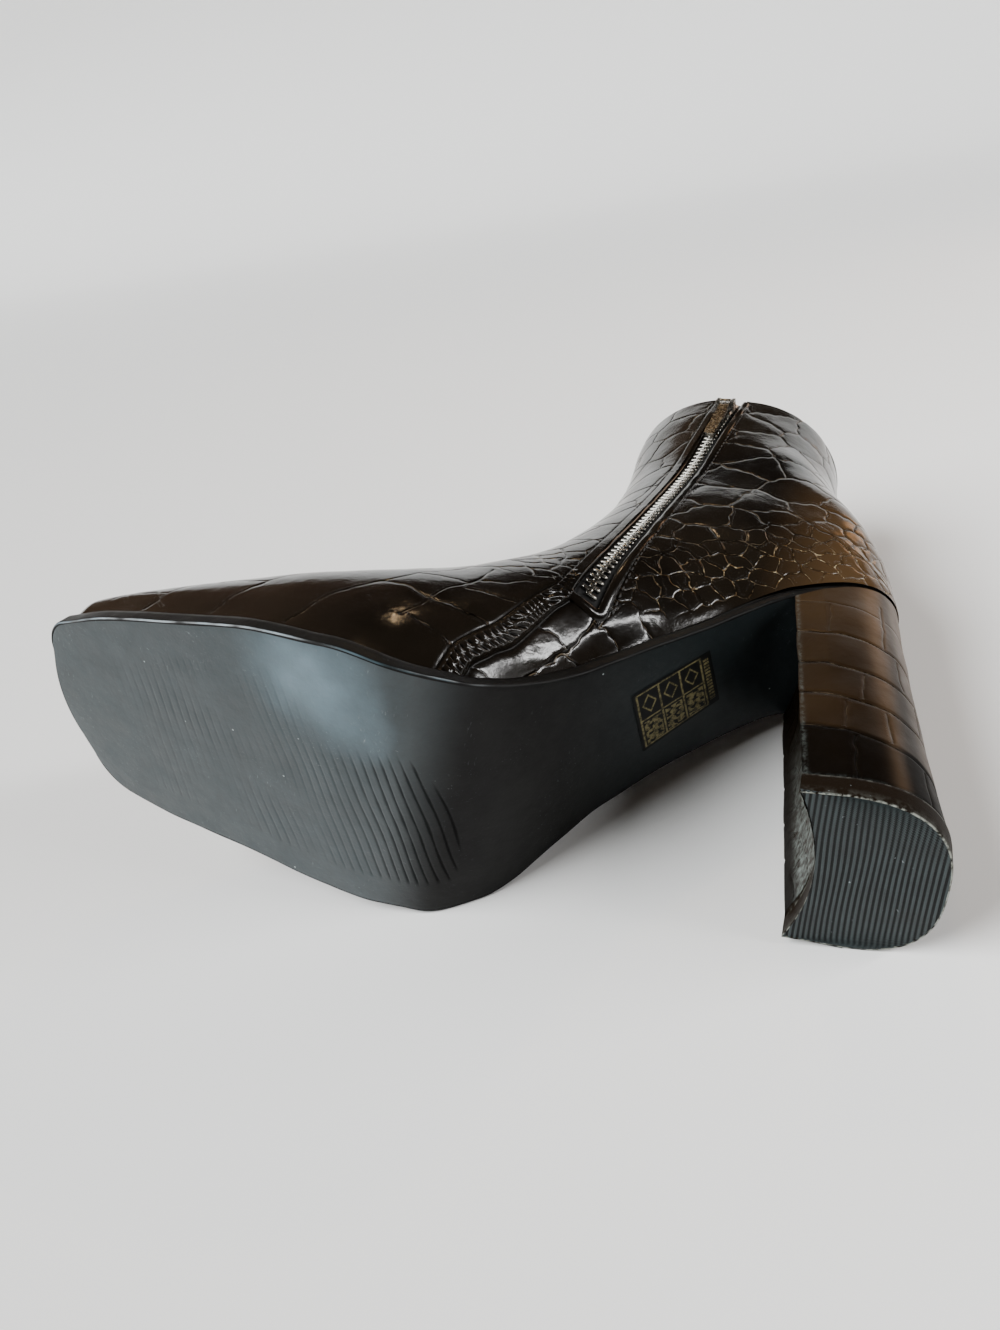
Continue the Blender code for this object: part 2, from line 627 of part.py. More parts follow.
# ---------------------------------------------------------------- pose
def resting_face(objects):
    """The plane that the boot rests on when it lies on its outer side, as a point and a normal.

    Among the convex hull's faces it is the one that looks to the outer side (-y) and has the boot's
    middle, the mean of its pieces' surface points weighted by area, straight above it.
    """
    corners, middle, area = [], Vector(), 0.0
    for obj in objects:
        points, faces = evaluated(obj)
        corners.append(points)
        a, b, c = (points[faces[:, k]] for k in range(3))
        size = np.linalg.norm(np.cross(b - a, c - a), axis=1)
        middle += Vector(((a + b + c) / 3 * size[:, None]).sum(axis=0))
        area += size.sum()
    middle /= area
    hull = bmesh.new()
    for point in np.concatenate(corners):
        hull.verts.new(point)
    bmesh.ops.convex_hull(hull, input=hull.verts)
    bmesh.ops.recalc_face_normals(hull, faces=hull.faces)
    best = None
    for face in hull.faces:
        normal = face.normal.copy()
        if normal.y > -0.7:
            continue
        point = face.verts[0].co.copy()
        below = middle + normal * (point - middle).dot(normal)
        loops = [loop.vert.co for loop in face.loops]
        turns = [
            (loops[(k + 1) % len(loops)] - here).cross(below - here).dot(normal)
            for k, here in enumerate(loops)
        ]
        if min(turns) >= 0:
            best = (point, normal)
    hull.free()
    return best


def lay_down(objects):
    """Parent everything to an empty that lays the boot on its outer side, toe towards -x."""
    point, down = resting_face(objects)
    up = -down
    length = Vector((-1, 0, 0))
    side = up.cross(length).normalized()
    length = side.cross(up)
    turn = Matrix((length, side, up)).to_4x4()
    base = bpy.data.objects.new("boot_frame", None)
    bpy.context.collection.objects.link(base)
    placed = np.concatenate([evaluated(obj)[0] for obj in objects]) @ np.array(turn.to_3x3()).T
    low, high = placed.min(axis=0), placed.max(axis=0)
    shift = Vector((-(low[0] + high[0]) / 2, -(low[1] + high[1]) / 2, -(turn @ point).z))
    base.matrix_world = Matrix.Translation(shift) @ turn
    for obj in bpy.data.objects:
        if obj.type == "MESH" and obj.parent is None:
            obj.parent = base


def clear_scene():
    for obj in list(bpy.data.objects):
        bpy.data.objects.remove(obj)


clear_scene()
RUBBER = material("black_rubber", (0.045, 0.05, 0.055), 0.5)
LEATHER = material("crocodile_leather", (0.02, 0.013, 0.01), 0.2)
COVER = material("heel_cover_leather", (0.035, 0.02, 0.012), 0.25)
LIFT_RUBBER = material("lift_rubber", (0.1, 0.11, 0.12), 0.6)
BOARD = material("insole_sock", (0.05, 0.045, 0.04), 0.8)
TAPE = material("zip_tape", (0.01, 0.01, 0.01), 0.7)
NICKEL = material("zip_metal", (0.6, 0.6, 0.58), 0.3, metallic=1.0)

outsole = make_outsole(RUBBER)
insole = make_insole(BOARD)
heel_block = make_heel_block(COVER)
top_lift = make_top_lift(LIFT_RUBBER)
upper = make_upper(LEATHER)
face_y = face_seeker(upper)
cut_zip_slot(upper, LEATHER)
zip_chain = make_zip_chain(face_y, TAPE)
slider_at = slider_frame(face_y)
zip_slider = make_zip_slider(slider_at, NICKEL)
zip_pull = make_zip_pull(slider_at, NICKEL)
lay_down([outsole, insole, heel_block, top_lift, upper, zip_chain, zip_slider, zip_pull])
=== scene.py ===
"""The looks of a right-hand block heel boot, built round its CAD parts.

Measures are millimetres in the boot's own frame: x runs from the back of the top lift to the toe,
y to the inner side of the foot, z up from the ground that the boot would stand on. to_row turns them
into metres in the shared frame, where the boot lies on its outer side with the sole to the front.
"""

import json
import math

import bpy
import numpy as np
from mathutils import Matrix, Vector


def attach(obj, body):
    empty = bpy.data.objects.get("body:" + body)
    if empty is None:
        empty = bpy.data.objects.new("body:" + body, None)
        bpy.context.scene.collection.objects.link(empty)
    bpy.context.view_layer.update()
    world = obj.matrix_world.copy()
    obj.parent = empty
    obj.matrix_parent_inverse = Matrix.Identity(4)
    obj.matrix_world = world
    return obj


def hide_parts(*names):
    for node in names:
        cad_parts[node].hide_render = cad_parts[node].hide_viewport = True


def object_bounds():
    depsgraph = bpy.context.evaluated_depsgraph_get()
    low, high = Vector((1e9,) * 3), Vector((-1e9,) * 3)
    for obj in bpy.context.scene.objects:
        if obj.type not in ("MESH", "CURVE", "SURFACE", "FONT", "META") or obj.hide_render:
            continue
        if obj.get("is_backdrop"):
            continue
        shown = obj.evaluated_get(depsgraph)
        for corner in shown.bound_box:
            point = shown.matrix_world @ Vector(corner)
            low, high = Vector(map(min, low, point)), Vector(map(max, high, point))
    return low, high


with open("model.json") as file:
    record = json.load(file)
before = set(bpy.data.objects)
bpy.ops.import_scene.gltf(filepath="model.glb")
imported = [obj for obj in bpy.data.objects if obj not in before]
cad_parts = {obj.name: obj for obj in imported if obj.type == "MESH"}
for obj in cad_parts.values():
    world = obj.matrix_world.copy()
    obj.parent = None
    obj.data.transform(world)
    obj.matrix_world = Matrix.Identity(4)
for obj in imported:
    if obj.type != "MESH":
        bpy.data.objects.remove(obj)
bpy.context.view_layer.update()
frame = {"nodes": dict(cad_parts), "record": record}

# ================================================================ outsole
# The sole is one moulding of black rubber, cemented under the upper, with shallow cross ribs in its
# tread and worn smooth under the inner ball, where its grey is partly wear and partly a painted sheen.
# Its underside is a grid of rows across the foot; rings round its outline make the rolled rim, the side
# wall and the top edge.
MM = 0.001
MOUNTS = {mount["name"]: mount for mount in frame["record"]["mounts"]}
LIFT_AT = np.array([16.6, -2.5, 0.0])      # where the mount of the lift's face is, in boot millimetres
CENTRE = -2.5          # y of the back seam
SEAT_ROUND, SEAT_POWER = 26.0, 2.6         # length and superellipse power of the rounding at the back
TOE_BOW, TOE_BOW_START = 3.0, 198.0        # how far the toe's middle stands forward, and from where on
TOE_CORNER = {"inner": 8.0, "outer": 11.0}
RIM = 0.8              # radius of the rolled edge
OUTLINE_COUNT = 900    # points round the sole's outline
EDGE_WAVE = 0.06       # how far the side wall wanders in and out
DISH = 0.25            # depth of the hollow along the waist
RIB_PITCH, RIB_DEPTH = 2.6, 0.24
RIB_START, RIB_END = 114.5, 221.0
RIB_BORDER = 10.0      # plain rubber round the ribbed field
RIB_HALF = 0.44        # half the width of a rib's cut


def unit(vectors):
    """Vectors of length 1 along the last axis."""
    return vectors / np.maximum(np.linalg.norm(vectors, axis=-1, keepdims=True), 1e-12)


# The boot's axes and origin, from the two faces that it stands on when worn.
UP = -unit(np.array(MOUNTS["tread_face"]["axis"]))
AHEAD = unit(np.array(MOUNTS["tread_face"]["pos_m"]) - np.array(MOUNTS["lift_face"]["pos_m"]))
AXES = np.stack([AHEAD, np.cross(UP, AHEAD), UP])
ORIGIN = np.array(MOUNTS["lift_face"]["pos_m"]) - MM * LIFT_AT @ AXES


def to_row(points):
    """Boot millimetres to metres in the shared frame; points may have any number of rows."""
    return ORIGIN + MM * np.asarray(points, float) @ AXES


def smooth(value, low, high):
    """0 at low, 1 at high, with t = (value - low) / (high - low) eased as t^2 (3 - 2 t)."""
    t = np.clip((value - low) / (high - low), 0, 1)
    return t * t * (3 - 2 * t)


def bell(value, middle, wide):
    """1 at the middle, falling off as exp(-d^2) with d the distance in units of `wide`."""
    return np.exp(-((value - middle) / wide) ** 2)


def pairs(x, y):
    """Two arrays joined along a new last axis."""
    return np.stack(np.broadcast_arrays(x, y), axis=-1)


def waves(points, period, seed, count=7):
    """Smooth random field of about unit size: the sum of sines in random directions, with periods
    of 0.7 to 1.5 times `period`."""
    rng = np.random.default_rng(seed)
    number = 2 * math.pi / (period * rng.uniform(0.7, 1.5, count))
    way = unit(rng.normal(size=(count, points.shape[-1]))) * number[:, None]
    phase = rng.uniform(0, 2 * math.pi, count)
    return np.sin(points @ way.T + phase).sum(axis=-1) * math.sqrt(2 / count)


def through(x, y, at):
    """A cubic through the points (x, y) that never swings past them, read at the positions `at`."""
    x, y, at = (np.asarray(v, float) for v in (x, y, at))
    step = np.diff(x)
    rise = np.diff(y) / step
    slope = np.empty_like(y)
    slope[0], slope[-1] = rise[0], rise[-1]
    with np.errstate(divide="ignore", invalid="ignore"):
        weight_a = 2 * step[1:] + step[:-1]
        weight_b = step[1:] + 2 * step[:-1]
        mean = (weight_a + weight_b) / (weight_a / rise[:-1] + weight_b / rise[1:])
    slope[1:-1] = np.where(rise[:-1] * rise[1:] > 0, mean, 0.0)
    k = np.clip(np.searchsorted(x, at) - 1, 0, len(x) - 2)
    t = np.clip((at - x[k]) / step[k], 0, 1)
    return (
        y[k] * (1 + 2 * t) * (1 - t) ** 2
        + y[k + 1] * t * t * (3 - 2 * t)
        + step[k] * t * (1 - t) * (slope[k] * (1 - t) - slope[k + 1] * t)
    )


def table(columns, rows):
    """A table as a dict of one array for each named column."""
    return dict(zip(columns, np.array(rows, float).T))


# Half widths to both sides, height of the underside, thickness, and how far the upper's edge stays
# inside the sole's, along the boot. The CAD has the same table.
SOLE = table(("x", "inner", "outer", "under", "thick", "margin"), (
    (12.0, 19.0, 23.5, 96.3, 2.0, -1.5),
    (42.5, 18.8, 23.5, 81.4, 2.4, -1.0),
    (46.5, 18.0, 23.8, 79.3, 2.6, -0.8),
    (64.5, 15.6, 26.2, 62.9, 3.4, 0.3),
    (88.0, 14.9, 32.9, 38.7, 4.0, 0.8),
    (112.0, 28.8, 42.1, 6.6, 4.0, 1.0),
    (128.0, 36.4, 44.0, 0.0, 4.0, 1.0),
    (140.0, 38.9, 44.0, 0.0, 4.0, 1.0),
    (156.0, 39.2, 42.6, 1.4, 4.0, 1.0),
    (180.0, 36.0, 37.4, 3.9, 4.0, 1.0),
    (204.0, 31.8, 33.6, 6.7, 4.0, 1.0),
    (230.0, 24.5, 26.4, 9.6, 4.0, 1.0),
))
SEAT_BACK, TOE_FRONT = SOLE["x"][0], SOLE["x"][-1]


def sole(column, x):
    """A column of the sole's table at station x."""
    return through(SOLE["x"], SOLE[column], x)


def bed(x, rise):
    """Side-view point (x, z) at a height `rise` square to the outsole's underside over station x."""
    d = 0.05
    slope = (sole("under", x + d) - sole("under", x - d)) / (2 * d)
    slope = np.where(x < SEAT_BACK + d, np.diff(SOLE["under"])[0] / np.diff(SOLE["x"])[0], slope)
    slope = np.where(x > TOE_FRONT - d, np.diff(SOLE["under"])[-1] / np.diff(SOLE["x"])[-1], slope)
    under = sole("under", x) + slope * (np.minimum(x - SEAT_BACK, 0) + np.maximum(x - TOE_FRONT, 0))
    length = np.sqrt(1 + slope**2)
    return x - slope * rise / length, under + rise / length


def rounding(distance, length, power):
    """0 at an end, 1 from `length` on: the quarter of a superellipse."""
    u = np.clip(distance / length, 0, 1)
    return (1 - (1 - u) ** power) ** (1 / power)


def corner(x, front, side):
    """How much the toe corner of one side cuts off the half width at x: a quarter circle."""
    radius = TOE_CORNER[side]
    e = np.clip((x - front + radius) / radius, 0, 1)
    return radius * (1 - np.sqrt(1 - e * e))


def outline(x, grow=0.0):
    """Inner and outer edge (both as y) of the outsole's plan at station x, grown by `grow`."""
    seat = rounding(x - SEAT_BACK + grow, SEAT_ROUND, SEAT_POWER)
    inner = sole("inner", x) + grow - corner(x, TOE_FRONT + grow, "inner")
    outer = -sole("outer", x) - grow + corner(x, TOE_FRONT + grow, "outer")
    return CENTRE + (inner - CENTRE) * seat, CENTRE + (outer - CENTRE) * seat


def bow(x, across):
    """How far a point of a row near the toe lies back from the row's middle; across is -1 to 1."""
    share = np.clip((x - TOE_BOW_START) / (TOE_FRONT - TOE_BOW_START), 0, 1)
    return TOE_BOW * share**2 * across**2


def surface(name, points, finish, *, uv=None, fields=None, keep=None, wrap=False, flip=False,
            poles=False, normals=None, stands_for=()):
    """A smooth mesh from a grid of points (rows, columns, 3) in boot millimetres, or from a stack of
    such grids of one size (count, rows, columns, 3).

    wrap joins the last column to the first, poles closes the first and the last row to a point each,
    flip turns the faces over, and keep marks the quads that are made. fields are numbers for each
    point, which the finish reads as attributes, and uv is each point's place in millimetres.
    """
    index = np.arange(points[..., 0].size).reshape(points.shape[:-1])
    if poles:
        index[..., 0, :], index[..., -1, :] = index[..., 0, :1], index[..., -1, :1]
    if wrap:
        index = np.concatenate([index, index[..., :1]], axis=-1)
    order = [index[..., :-1, :-1], index[..., :-1, 1:], index[..., 1:, 1:], index[..., 1:, :-1]]
    faces = np.stack(order[::-1] if flip else order, axis=-1)
    faces = (faces if keep is None else faces[keep]).reshape(-1, 4)
    used, faces = np.unique(faces, return_inverse=True)
    faces = faces.reshape(-1, 4)
    fresh = faces != np.roll(faces, 1, axis=1)      # at a pole a quad's two equal corners become one
    starts = np.cumsum(fresh.sum(axis=1)) - fresh.sum(axis=1)
    mesh = bpy.data.meshes.new(name)
    mesh.vertices.add(len(used))
    mesh.vertices.foreach_set("co", to_row(points.reshape(-1, 3)[used]).astype(np.float32).ravel())
    mesh.loops.add(int(fresh.sum()))
    mesh.loops.foreach_set("vertex_index", faces[fresh].astype(np.int32))
    mesh.polygons.add(len(faces))
    mesh.polygons.foreach_set("loop_start", starts.astype(np.int32))
    mesh.update(calc_edges=True)
    if uv is not None:
        layer = mesh.uv_layers.new(name="millimetres")
        layer.data.foreach_set("uv", uv.reshape(-1, 2)[used[faces[fresh]]].astype(np.float32).ravel())
    for title, values in (fields or {}).items():
        values = np.broadcast_to(values, points.shape[:-1]).ravel()[used]
        mesh.attributes.new(title, "FLOAT", "POINT").data.foreach_set("value", values.astype(np.float32))
    mesh.materials.append(finish)
    mesh.shade_smooth()
    if normals is not None:
        turned = normals.reshape(-1, 3)[used] @ AXES
        mesh.normals_split_custom_set_from_vertices(turned.tolist())
    made = bpy.data.objects.new(name, mesh)
    bpy.context.collection.objects.link(made)
    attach(made, "boot")
    if stands_for:
        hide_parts(*stands_for)


def linear(code):
    """Scene-linear colour of a "#rrggbb" code."""
    parts = [int(code[i:i + 2], 16) / 255 for i in (1, 3, 5)]
    return tuple(p / 12.92 if p <= 0.04045 else ((p + 0.055) / 1.055) ** 2.4 for p in parts) + (1.0,)


def connect(tree, made, inputs):
    """Set a node's inputs to constants, or to the sockets that feed them."""
    for name, value in inputs.items():
        if isinstance(value, bpy.types.NodeSocket):
            tree.links.new(value, made.inputs[name])
        else:
            made.inputs[name].default_value = value


def node(tree, kind, inputs=(), out=0, **settings):
    """Add a shader node and return its output `out`. inputs is a dict by name or number, or a tuple
    in the order of the node's own sockets."""
    made = tree.nodes.new("ShaderNode" + kind)
    for name, value in settings.items():
        setattr(made, name, value)
    connect(tree, made, inputs if isinstance(inputs, dict) else dict(enumerate(inputs)))
    return made.outputs[out]


def patches(tree, where, size, low, high, least=0.0, most=1.0, detail=3.0, rough=0.5):
    """Random patches about `size` mm apart: noise, whose values from low to high are spread from
    `least` to `most` and held there."""
    inputs = {"Vector": where, "Scale": 1 / (size * MM), "Detail": detail, "Roughness": rough}
    return node(tree, "MapRange", (node(tree, "TexNoise", inputs), low, high, least, most))


def relief(tree, where, *layers):
    """Random bumps over one another; each layer is their size and depth in mm, detail and roughness."""
    inputs = {}
    for size, depth, detail, rough in layers:
        lumps = {"Vector": where, "Scale": 1 / (size * MM), "Detail": detail, "Roughness": rough}
        inputs.update({"Height": node(tree, "TexNoise", lumps), "Distance": depth * MM})
        inputs["Normal"] = node(tree, "Bump", inputs)
    return inputs["Normal"]


def painted(tree, colour, *layers):
    """A colour with others laid over it in turn; each layer is its share, 0 to 1, and its colour."""
    for share, code in layers:
        over = linear(code) if isinstance(code, str) else code
        colour = node(tree, "Mix", {0: share, 6: colour, 7: over}, out=2, data_type="RGBA")
    return colour


def finish_of(name):
    """A new material: itself, its node tree, its shader and its object position in metres."""
    made = bpy.data.materials.new(name)
    made.use_nodes = True
    tree = made.node_tree
    return made, tree, tree.nodes["Principled BSDF"], node(tree, "TexCoord", out="Object")


# Scratches by direction: lean in radians, stretch, width in mm, and mm between scratched places.
SCRATCHES = ((0.5, 4.0, 0.7, 17), (-1.0, 3.0, 0.6, 13), (1.7, 2.0, 0.5, 21))


def rubber_finish():
    """Moulded rubber, satin, which gives a cloudy black. The tread turns grey-blue, partly by wear and
    partly as a painted sheen, with a painted highlight of pale blue-grey on the inner ball; fine
    scratches, a few specks 5 mm apart and a darker colour in the rib cuts lie over that. The grain of
    the mould is drawn at 0.7 mm, coarser than the real one, so that it shows."""
    made, tree, shader, where = finish_of("worn_black_rubber")
    wear_and_sheen, cut = (node(tree, "Attribute", out="Fac", attribute_name=title) for title in ("wear_and_sheen", "cut"))
    bloom = patches(tree, where, 24, 0.35, 0.7, detail=4, rough=0.6)
    patchy = patches(tree, where, 11, 0.3, 0.7, 0.7, 1.0, detail=5, rough=0.65)
    mottle = patches(tree, where, 1.5, 0.35, 0.65, 0.8, 1.0, detail=4, rough=0.7)
    mottle = node(tree, "Math", (patchy, mottle), operation="MULTIPLY")
    # Grey-blue where worn, partly real wear and partly a painted sheen; pale blue-grey on the ball as a
    # painted highlight.
    greyed = node(tree, "Math", (wear_and_sheen, mottle), operation="MULTIPLY")
    pale = node(tree, "MapRange", (wear_and_sheen, 0.5, 1.3, 0.0, 0.6))
    pale = node(tree, "Math", (pale, patchy), operation="MULTIPLY")
    layers = [(bloom, "#191918"), (greyed, "#33474d"), (pale, "#758c99")]
    for lean, stretch, wide, apart in SCRATCHES:
        turned = {"Vector": where, "Rotation": (0.0, lean, 0.3 * lean), "Scale": (1.0, 1.0, stretch)}
        drawn = node(tree, "Mapping", turned, vector_type="TEXTURE")
        scratch = patches(tree, drawn, wide, 0.64, 0.76, rough=0.6)
        places = patches(tree, where, apart, 0.52, 0.68, detail=2)
        scratch = node(tree, "Math", (scratch, places), operation="MULTIPLY")
        on_wear = node(tree, "MapRange", (wear_and_sheen, 0.1, 0.5, 0.15, 0.4))
        layers.append((node(tree, "Math", (scratch, on_wear), operation="MULTIPLY"), "#8b9596"))
    dots = node(tree, "TexVoronoi", {"Vector": where, "Scale": 1 / (5.0 * MM)}, feature="F1").node.outputs
    radius = node(tree, "MapRange", (node(tree, "SeparateColor", (dots["Color"],)), 0.75, 1.0, 0.0, 0.07))
    speck = node(tree, "Math", (dots["Distance"], radius), operation="LESS_THAN")
    speck = node(tree, "Math", (speck, 0.7), operation="MULTIPLY")
    # Darker colour in the rib cuts.
    rib_darkening = node(tree, "Math", (cut, 0.6), operation="MULTIPLY")
    rough = patches(tree, where, 9, 0.3, 0.7, 0.38, 0.52, detail=4, rough=0.6)
    smoother = node(tree, "Math", (wear_and_sheen, 0.1), operation="MULTIPLY")
    on_wear = node(tree, "MapRange", (wear_and_sheen, 0.0, 0.35, 0.1, 0.5))
    in_rib = node(tree, "MapRange", (cut, 0.0, 1.0, 1.0, 0.3))
    connect(tree, shader, {
        "Base Color": painted(tree, linear("#100f0f"), *layers, (speck, "#a3acac"), (rib_darkening, "#060707")),
        "Roughness": node(tree, "Math", (rough, smoother), operation="SUBTRACT"),
        "Normal": relief(tree, where, (0.7, 0.03, 3, 0.6), (6, 0.2, 3, 0.5)),
        "Specular IOR Level": node(tree, "Math", (on_wear, in_rib), operation="MULTIPLY"),
    })
    return made


RUBBER = rubber_finish()


def rib_cut(x, y):
    """How deep the ribs are cut into the underside at a plan point, 0 to 1.

    A cut lies wherever x less a slant times y is a whole number of pitches. The field keeps a plain
    border all round, and starts in an arc behind the ball. Wear has left the cuts of the outer ball
    sharp, and the others faint.
    """
    inner, outer = outline(x)
    edge = np.minimum(inner - y, y - outer)
    start = RIB_START + 0.012 * (y + 18.0) ** 2
    field = smooth(edge, RIB_BORDER, RIB_BORDER + 1.5)
    field = field * smooth(x, start, start + 1.2) * smooth(x, RIB_END, RIB_END - 2.0)
    slant = 0.17 * smooth(x, 205.0, 145.0)
    phase = (x - slant * (y + 10.0) + 0.2 * waves(pairs(x, y), 30, 3)) / RIB_PITCH
    apart = np.abs(phase - np.round(phase)) * RIB_PITCH
    half = RIB_HALF + 0.04 * waves(pairs(x, y), 6, 6)
    line = smooth(apart, half, half - 0.28)
    sharp = smooth(y - 0.4 * waves(pairs(x, y), 8, 5), 11.0, 3.0)
    sharp = sharp * (0.35 * smooth(x, 156.0, 146.0) + 0.65 * smooth(x, 146.0, 126.0))
    faint = (0.13 + 0.1 * waves(pairs(x, y), 25, 4)) * smooth(x, 140.0, 160.0) * smooth(x, 214.0, 190.0)
    left = np.clip(sharp + faint, 0, 1)
    return line * field * left


# Spots of the inner ball, rubbed smooth and painted lighter as a highlight: place (x, y), radius and
# strength.
WEAR_AND_SHEEN_SPOTS = ((145, 29, 13, 0.8), (133, 15, 9, 0.3))


def wear_and_sheen_share(x, y):
    """Where the sole is greyed, partly by wear and partly as a painted sheen: round spots of the inner
    ball most, which carry a painted highlight, the tread by less, and the back of the sole a little,
    which paints light into its shade.
    """
    spots = sum(
        strength * bell(x, at_x, wide) * bell(y, at_y, wide)
        for at_x, at_y, wide, strength in WEAR_AND_SHEEN_SPOTS
    )
    # The grey of the tread is partly a painted sheen, and the lighter back of the sole is painted light in
    # its shade.
    tread = 0.46 * smooth(x + 0.25 * y, 112, 136) + 0.16 * smooth(x, 100, 66)
    return spots * (0.95 + 0.08 * waves(pairs(x, y), 9, 8)) + tread


def make_underside():
    """Grid of stations along the boot, close in the ribs and at both ends, and of places across each,
    closer to the edges. A parabola across the foot, DISH deep, hollows the waist."""
    quarter = math.pi / 2
    x = np.concatenate([
        SEAT_BACK + RIM + 30 * (1 - np.cos(np.linspace(0.02, 1, 40) * quarter)),
        np.linspace(SEAT_BACK + RIM + 30, 112, 90)[1:],
        np.linspace(112, 219, 400)[1:],
        TOE_FRONT - RIM - 9.7 * (1 - np.sin(np.linspace(0, 1, 30) * quarter)),
    ])[:, None]
    across = np.sin(np.linspace(-1, 1, 105) * quarter * 0.86) / math.sin(quarter * 0.86)
    inner, outer = outline(x, -RIM)
    y = (inner + outer) / 2 + across * (inner - outer) / 2
    cut = rib_cut(x, y)
    at_rim = 0.05 * smooth(np.abs(across), 0.97, 1.0)
    dish = DISH * (1 - across**2) * smooth(x, 60, 90) * smooth(x, 120, 100)
    px, pz = bed(x, cut * RIB_DEPTH + at_rim + dish)
    points = np.stack([px - bow(x, across), y, pz], axis=-1)
    fields = {"wear_and_sheen": wear_and_sheen_share(x, y), "cut": cut}
    surface("outsole_tread", points, RUBBER, fields=fields, stands_for=("outsole",))


def sole_path():
    """The sole's outline as evenly spaced points (station, y) from the seat round the toe and back,
    with the outward direction of each and how far across its row it lies, -1 to 1."""
    seat = SEAT_BACK + SEAT_ROUND * (1 - np.cos(np.linspace(0, 1, 120) * math.pi / 2))
    toe = TOE_FRONT - 14 * (1 - np.sin(np.linspace(0, 1, 120) * math.pi / 2))
    x = np.concatenate([seat, np.linspace(seat[-1], toe[0], 400)[1:-1], toe])
    inner, outer = outline(x)
    front = np.linspace(inner[-1], outer[-1], 60)[1:-1]
    px = np.concatenate([x, np.full_like(front, TOE_FRONT), x[::-1]])
    py = np.concatenate([inner, front, outer[::-1]])
    length = np.concatenate([[0], np.cumsum(np.hypot(np.diff(px), np.diff(py)))])
    even = np.linspace(0, length[-1], OUTLINE_COUNT, endpoint=False)
    px, py = np.interp(even, length, px), np.interp(even, length, py)
    tangent = unit(np.stack([np.roll(px, -1) - np.roll(px, 1), np.roll(py, -1) - np.roll(py, 1)], -1))
    inner, outer = outline(px)
    across = (py - (inner + outer) / 2) / np.maximum((inner - outer) / 2, 1e-3)
    return px, py, np.stack([-tangent[:, 1], tangent[:, 0]], -1), np.clip(across, -1, 1)


def make_sole_edge():
    """Rings round the outline: a quarter circle for the rim, the wall, and the top's edge. Ring k lies
    `inset` mm inside the outline and `rise` mm above the underside."""
    px, py, out, across = sole_path()
    turn = np.linspace(0, math.pi / 2, 9)[:, None]
    thick = sole("thick", px)
    inset = np.concatenate([RIM * (1 - np.sin(turn)), np.zeros((3, 1)), [[0.25], [0.6], [3.5]]])
    rise = np.concatenate([
        RIM * (1 - np.cos(turn)) + 0 * thick,
        np.array([[0.35], [0.65], [1.0]]) * (thick - 0.35 - RIM) + RIM,
        thick - np.array([[0.12], [0.0], [0.0]]),
    ])
    x, y = np.clip(px - out[:, 0] * inset, SEAT_BACK, TOE_FRONT), py - out[:, 1] * inset
    side_x, side_z = bed(x, rise)
    points = np.stack([side_x - bow(x, across), y, side_z], axis=-1)
    wave = EDGE_WAVE * waves(points, 14, 21) * (inset < 0.5)
    points[..., :2] -= wave[..., None] * out
    wear_and_sheen = np.zeros(rise.shape)
    rim, top = slice(3, 6), slice(12, 14)
    scuffed = np.clip(0.45 + 0.3 * smooth(px, 135, 165) + 0.4 * waves(points[rim], 7, 23), 0, 1)
    wear_and_sheen[rim] = scuffed * smooth(px, 98, 124)
    wear_and_sheen[top] = np.clip(0.12 * waves(points[top], 6, 22), 0, 1)
    surface("outsole_edge", points, RUBBER, fields={"wear_and_sheen": wear_and_sheen, "cut": 0.0},
            wrap=True, flip=True)


make_underside()
make_sole_edge()

# ================================================================ heel block
# The heel is a moulded block in a wrap of embossed leather, seamed at its hollow breast and nailed
# under the seat. One grid runs round the block and up it; rows of square scales are pressed in as
# lines that sag towards the back.
HEEL_ENDS = ("back", "breast", "inner", "outer", "inner_breast", "outer_breast", "hollow")
HEEL_FOOT = dict(zip(HEEL_ENDS, (0.0, 33.3, 19.8, 25.4, 18.8, 25.8, 5.2)))
HEEL_TOP = dict(zip(HEEL_ENDS, (12.0, 42.5, 20.0, 24.5, 18.8, 23.5, 4.4)))
HEEL_ROUND = 23.0      # from the back to where the plan is widest
HEEL_WAIST = 0.9       # how far the back is drawn in halfway up
LIFT = 6.0             # thickness of the top lift
GAP = 0.3              # left between two parts
SIDE_COUNT, BREAST_COUNT = 310, 92      # points round the sides and back, and along the breast
LINE_DEPTH, HEM_DEPTH, WRINKLE = 0.3, 0.25, 0.06
TURN_IN = 0.8          # how far the wrap's lowest row is turned in over the lift


def heel_ring(end, grow=0.0):
    """Plan ring of the heel at one of its ends, grown by `grow`, as x, y and the length gone.

    From the inner side round the back to the outer side it is a superellipse, evenly spaced by length.
    Then comes the breast, a parabola that reaches `hollow` mm in.
    """
    turn = np.linspace(0, math.pi, 600)
    cosine, sine = np.cos(turn), np.sin(turn)
    widest = end["back"] + HEEL_ROUND
    half = np.where(cosine > 0, end["inner"], end["outer"]) + grow - CENTRE * np.sign(cosine)
    y = CENTRE + half * np.sign(cosine) * np.abs(cosine) ** (2 / SEAT_POWER)
    x = widest - (HEEL_ROUND + grow) * np.abs(sine) ** (2 / SEAT_POWER)
    inner, outer = end["inner_breast"] + grow, -end["outer_breast"] - grow
    x = np.concatenate([[end["breast"]], x, [end["breast"]]])
    y = np.concatenate([[inner], y, [outer]])
    length = np.concatenate([[0], np.cumsum(np.hypot(np.diff(x), np.diff(y)))])
    even = np.linspace(0, length[-1], SIDE_COUNT)
    share = np.linspace(-1, 1, BREAST_COUNT)[1:-1]
    breast_y = (inner + outer) / 2 + share * (inner - outer) / 2
    breast_x = end["breast"] - end["hollow"] * (1 - share**2)
    return (
        np.concatenate([np.interp(even, length, x), breast_x]),
        np.concatenate([np.interp(even, length, y), breast_y]),
        np.concatenate([even, length[-1] + breast_y - outer]),
    )


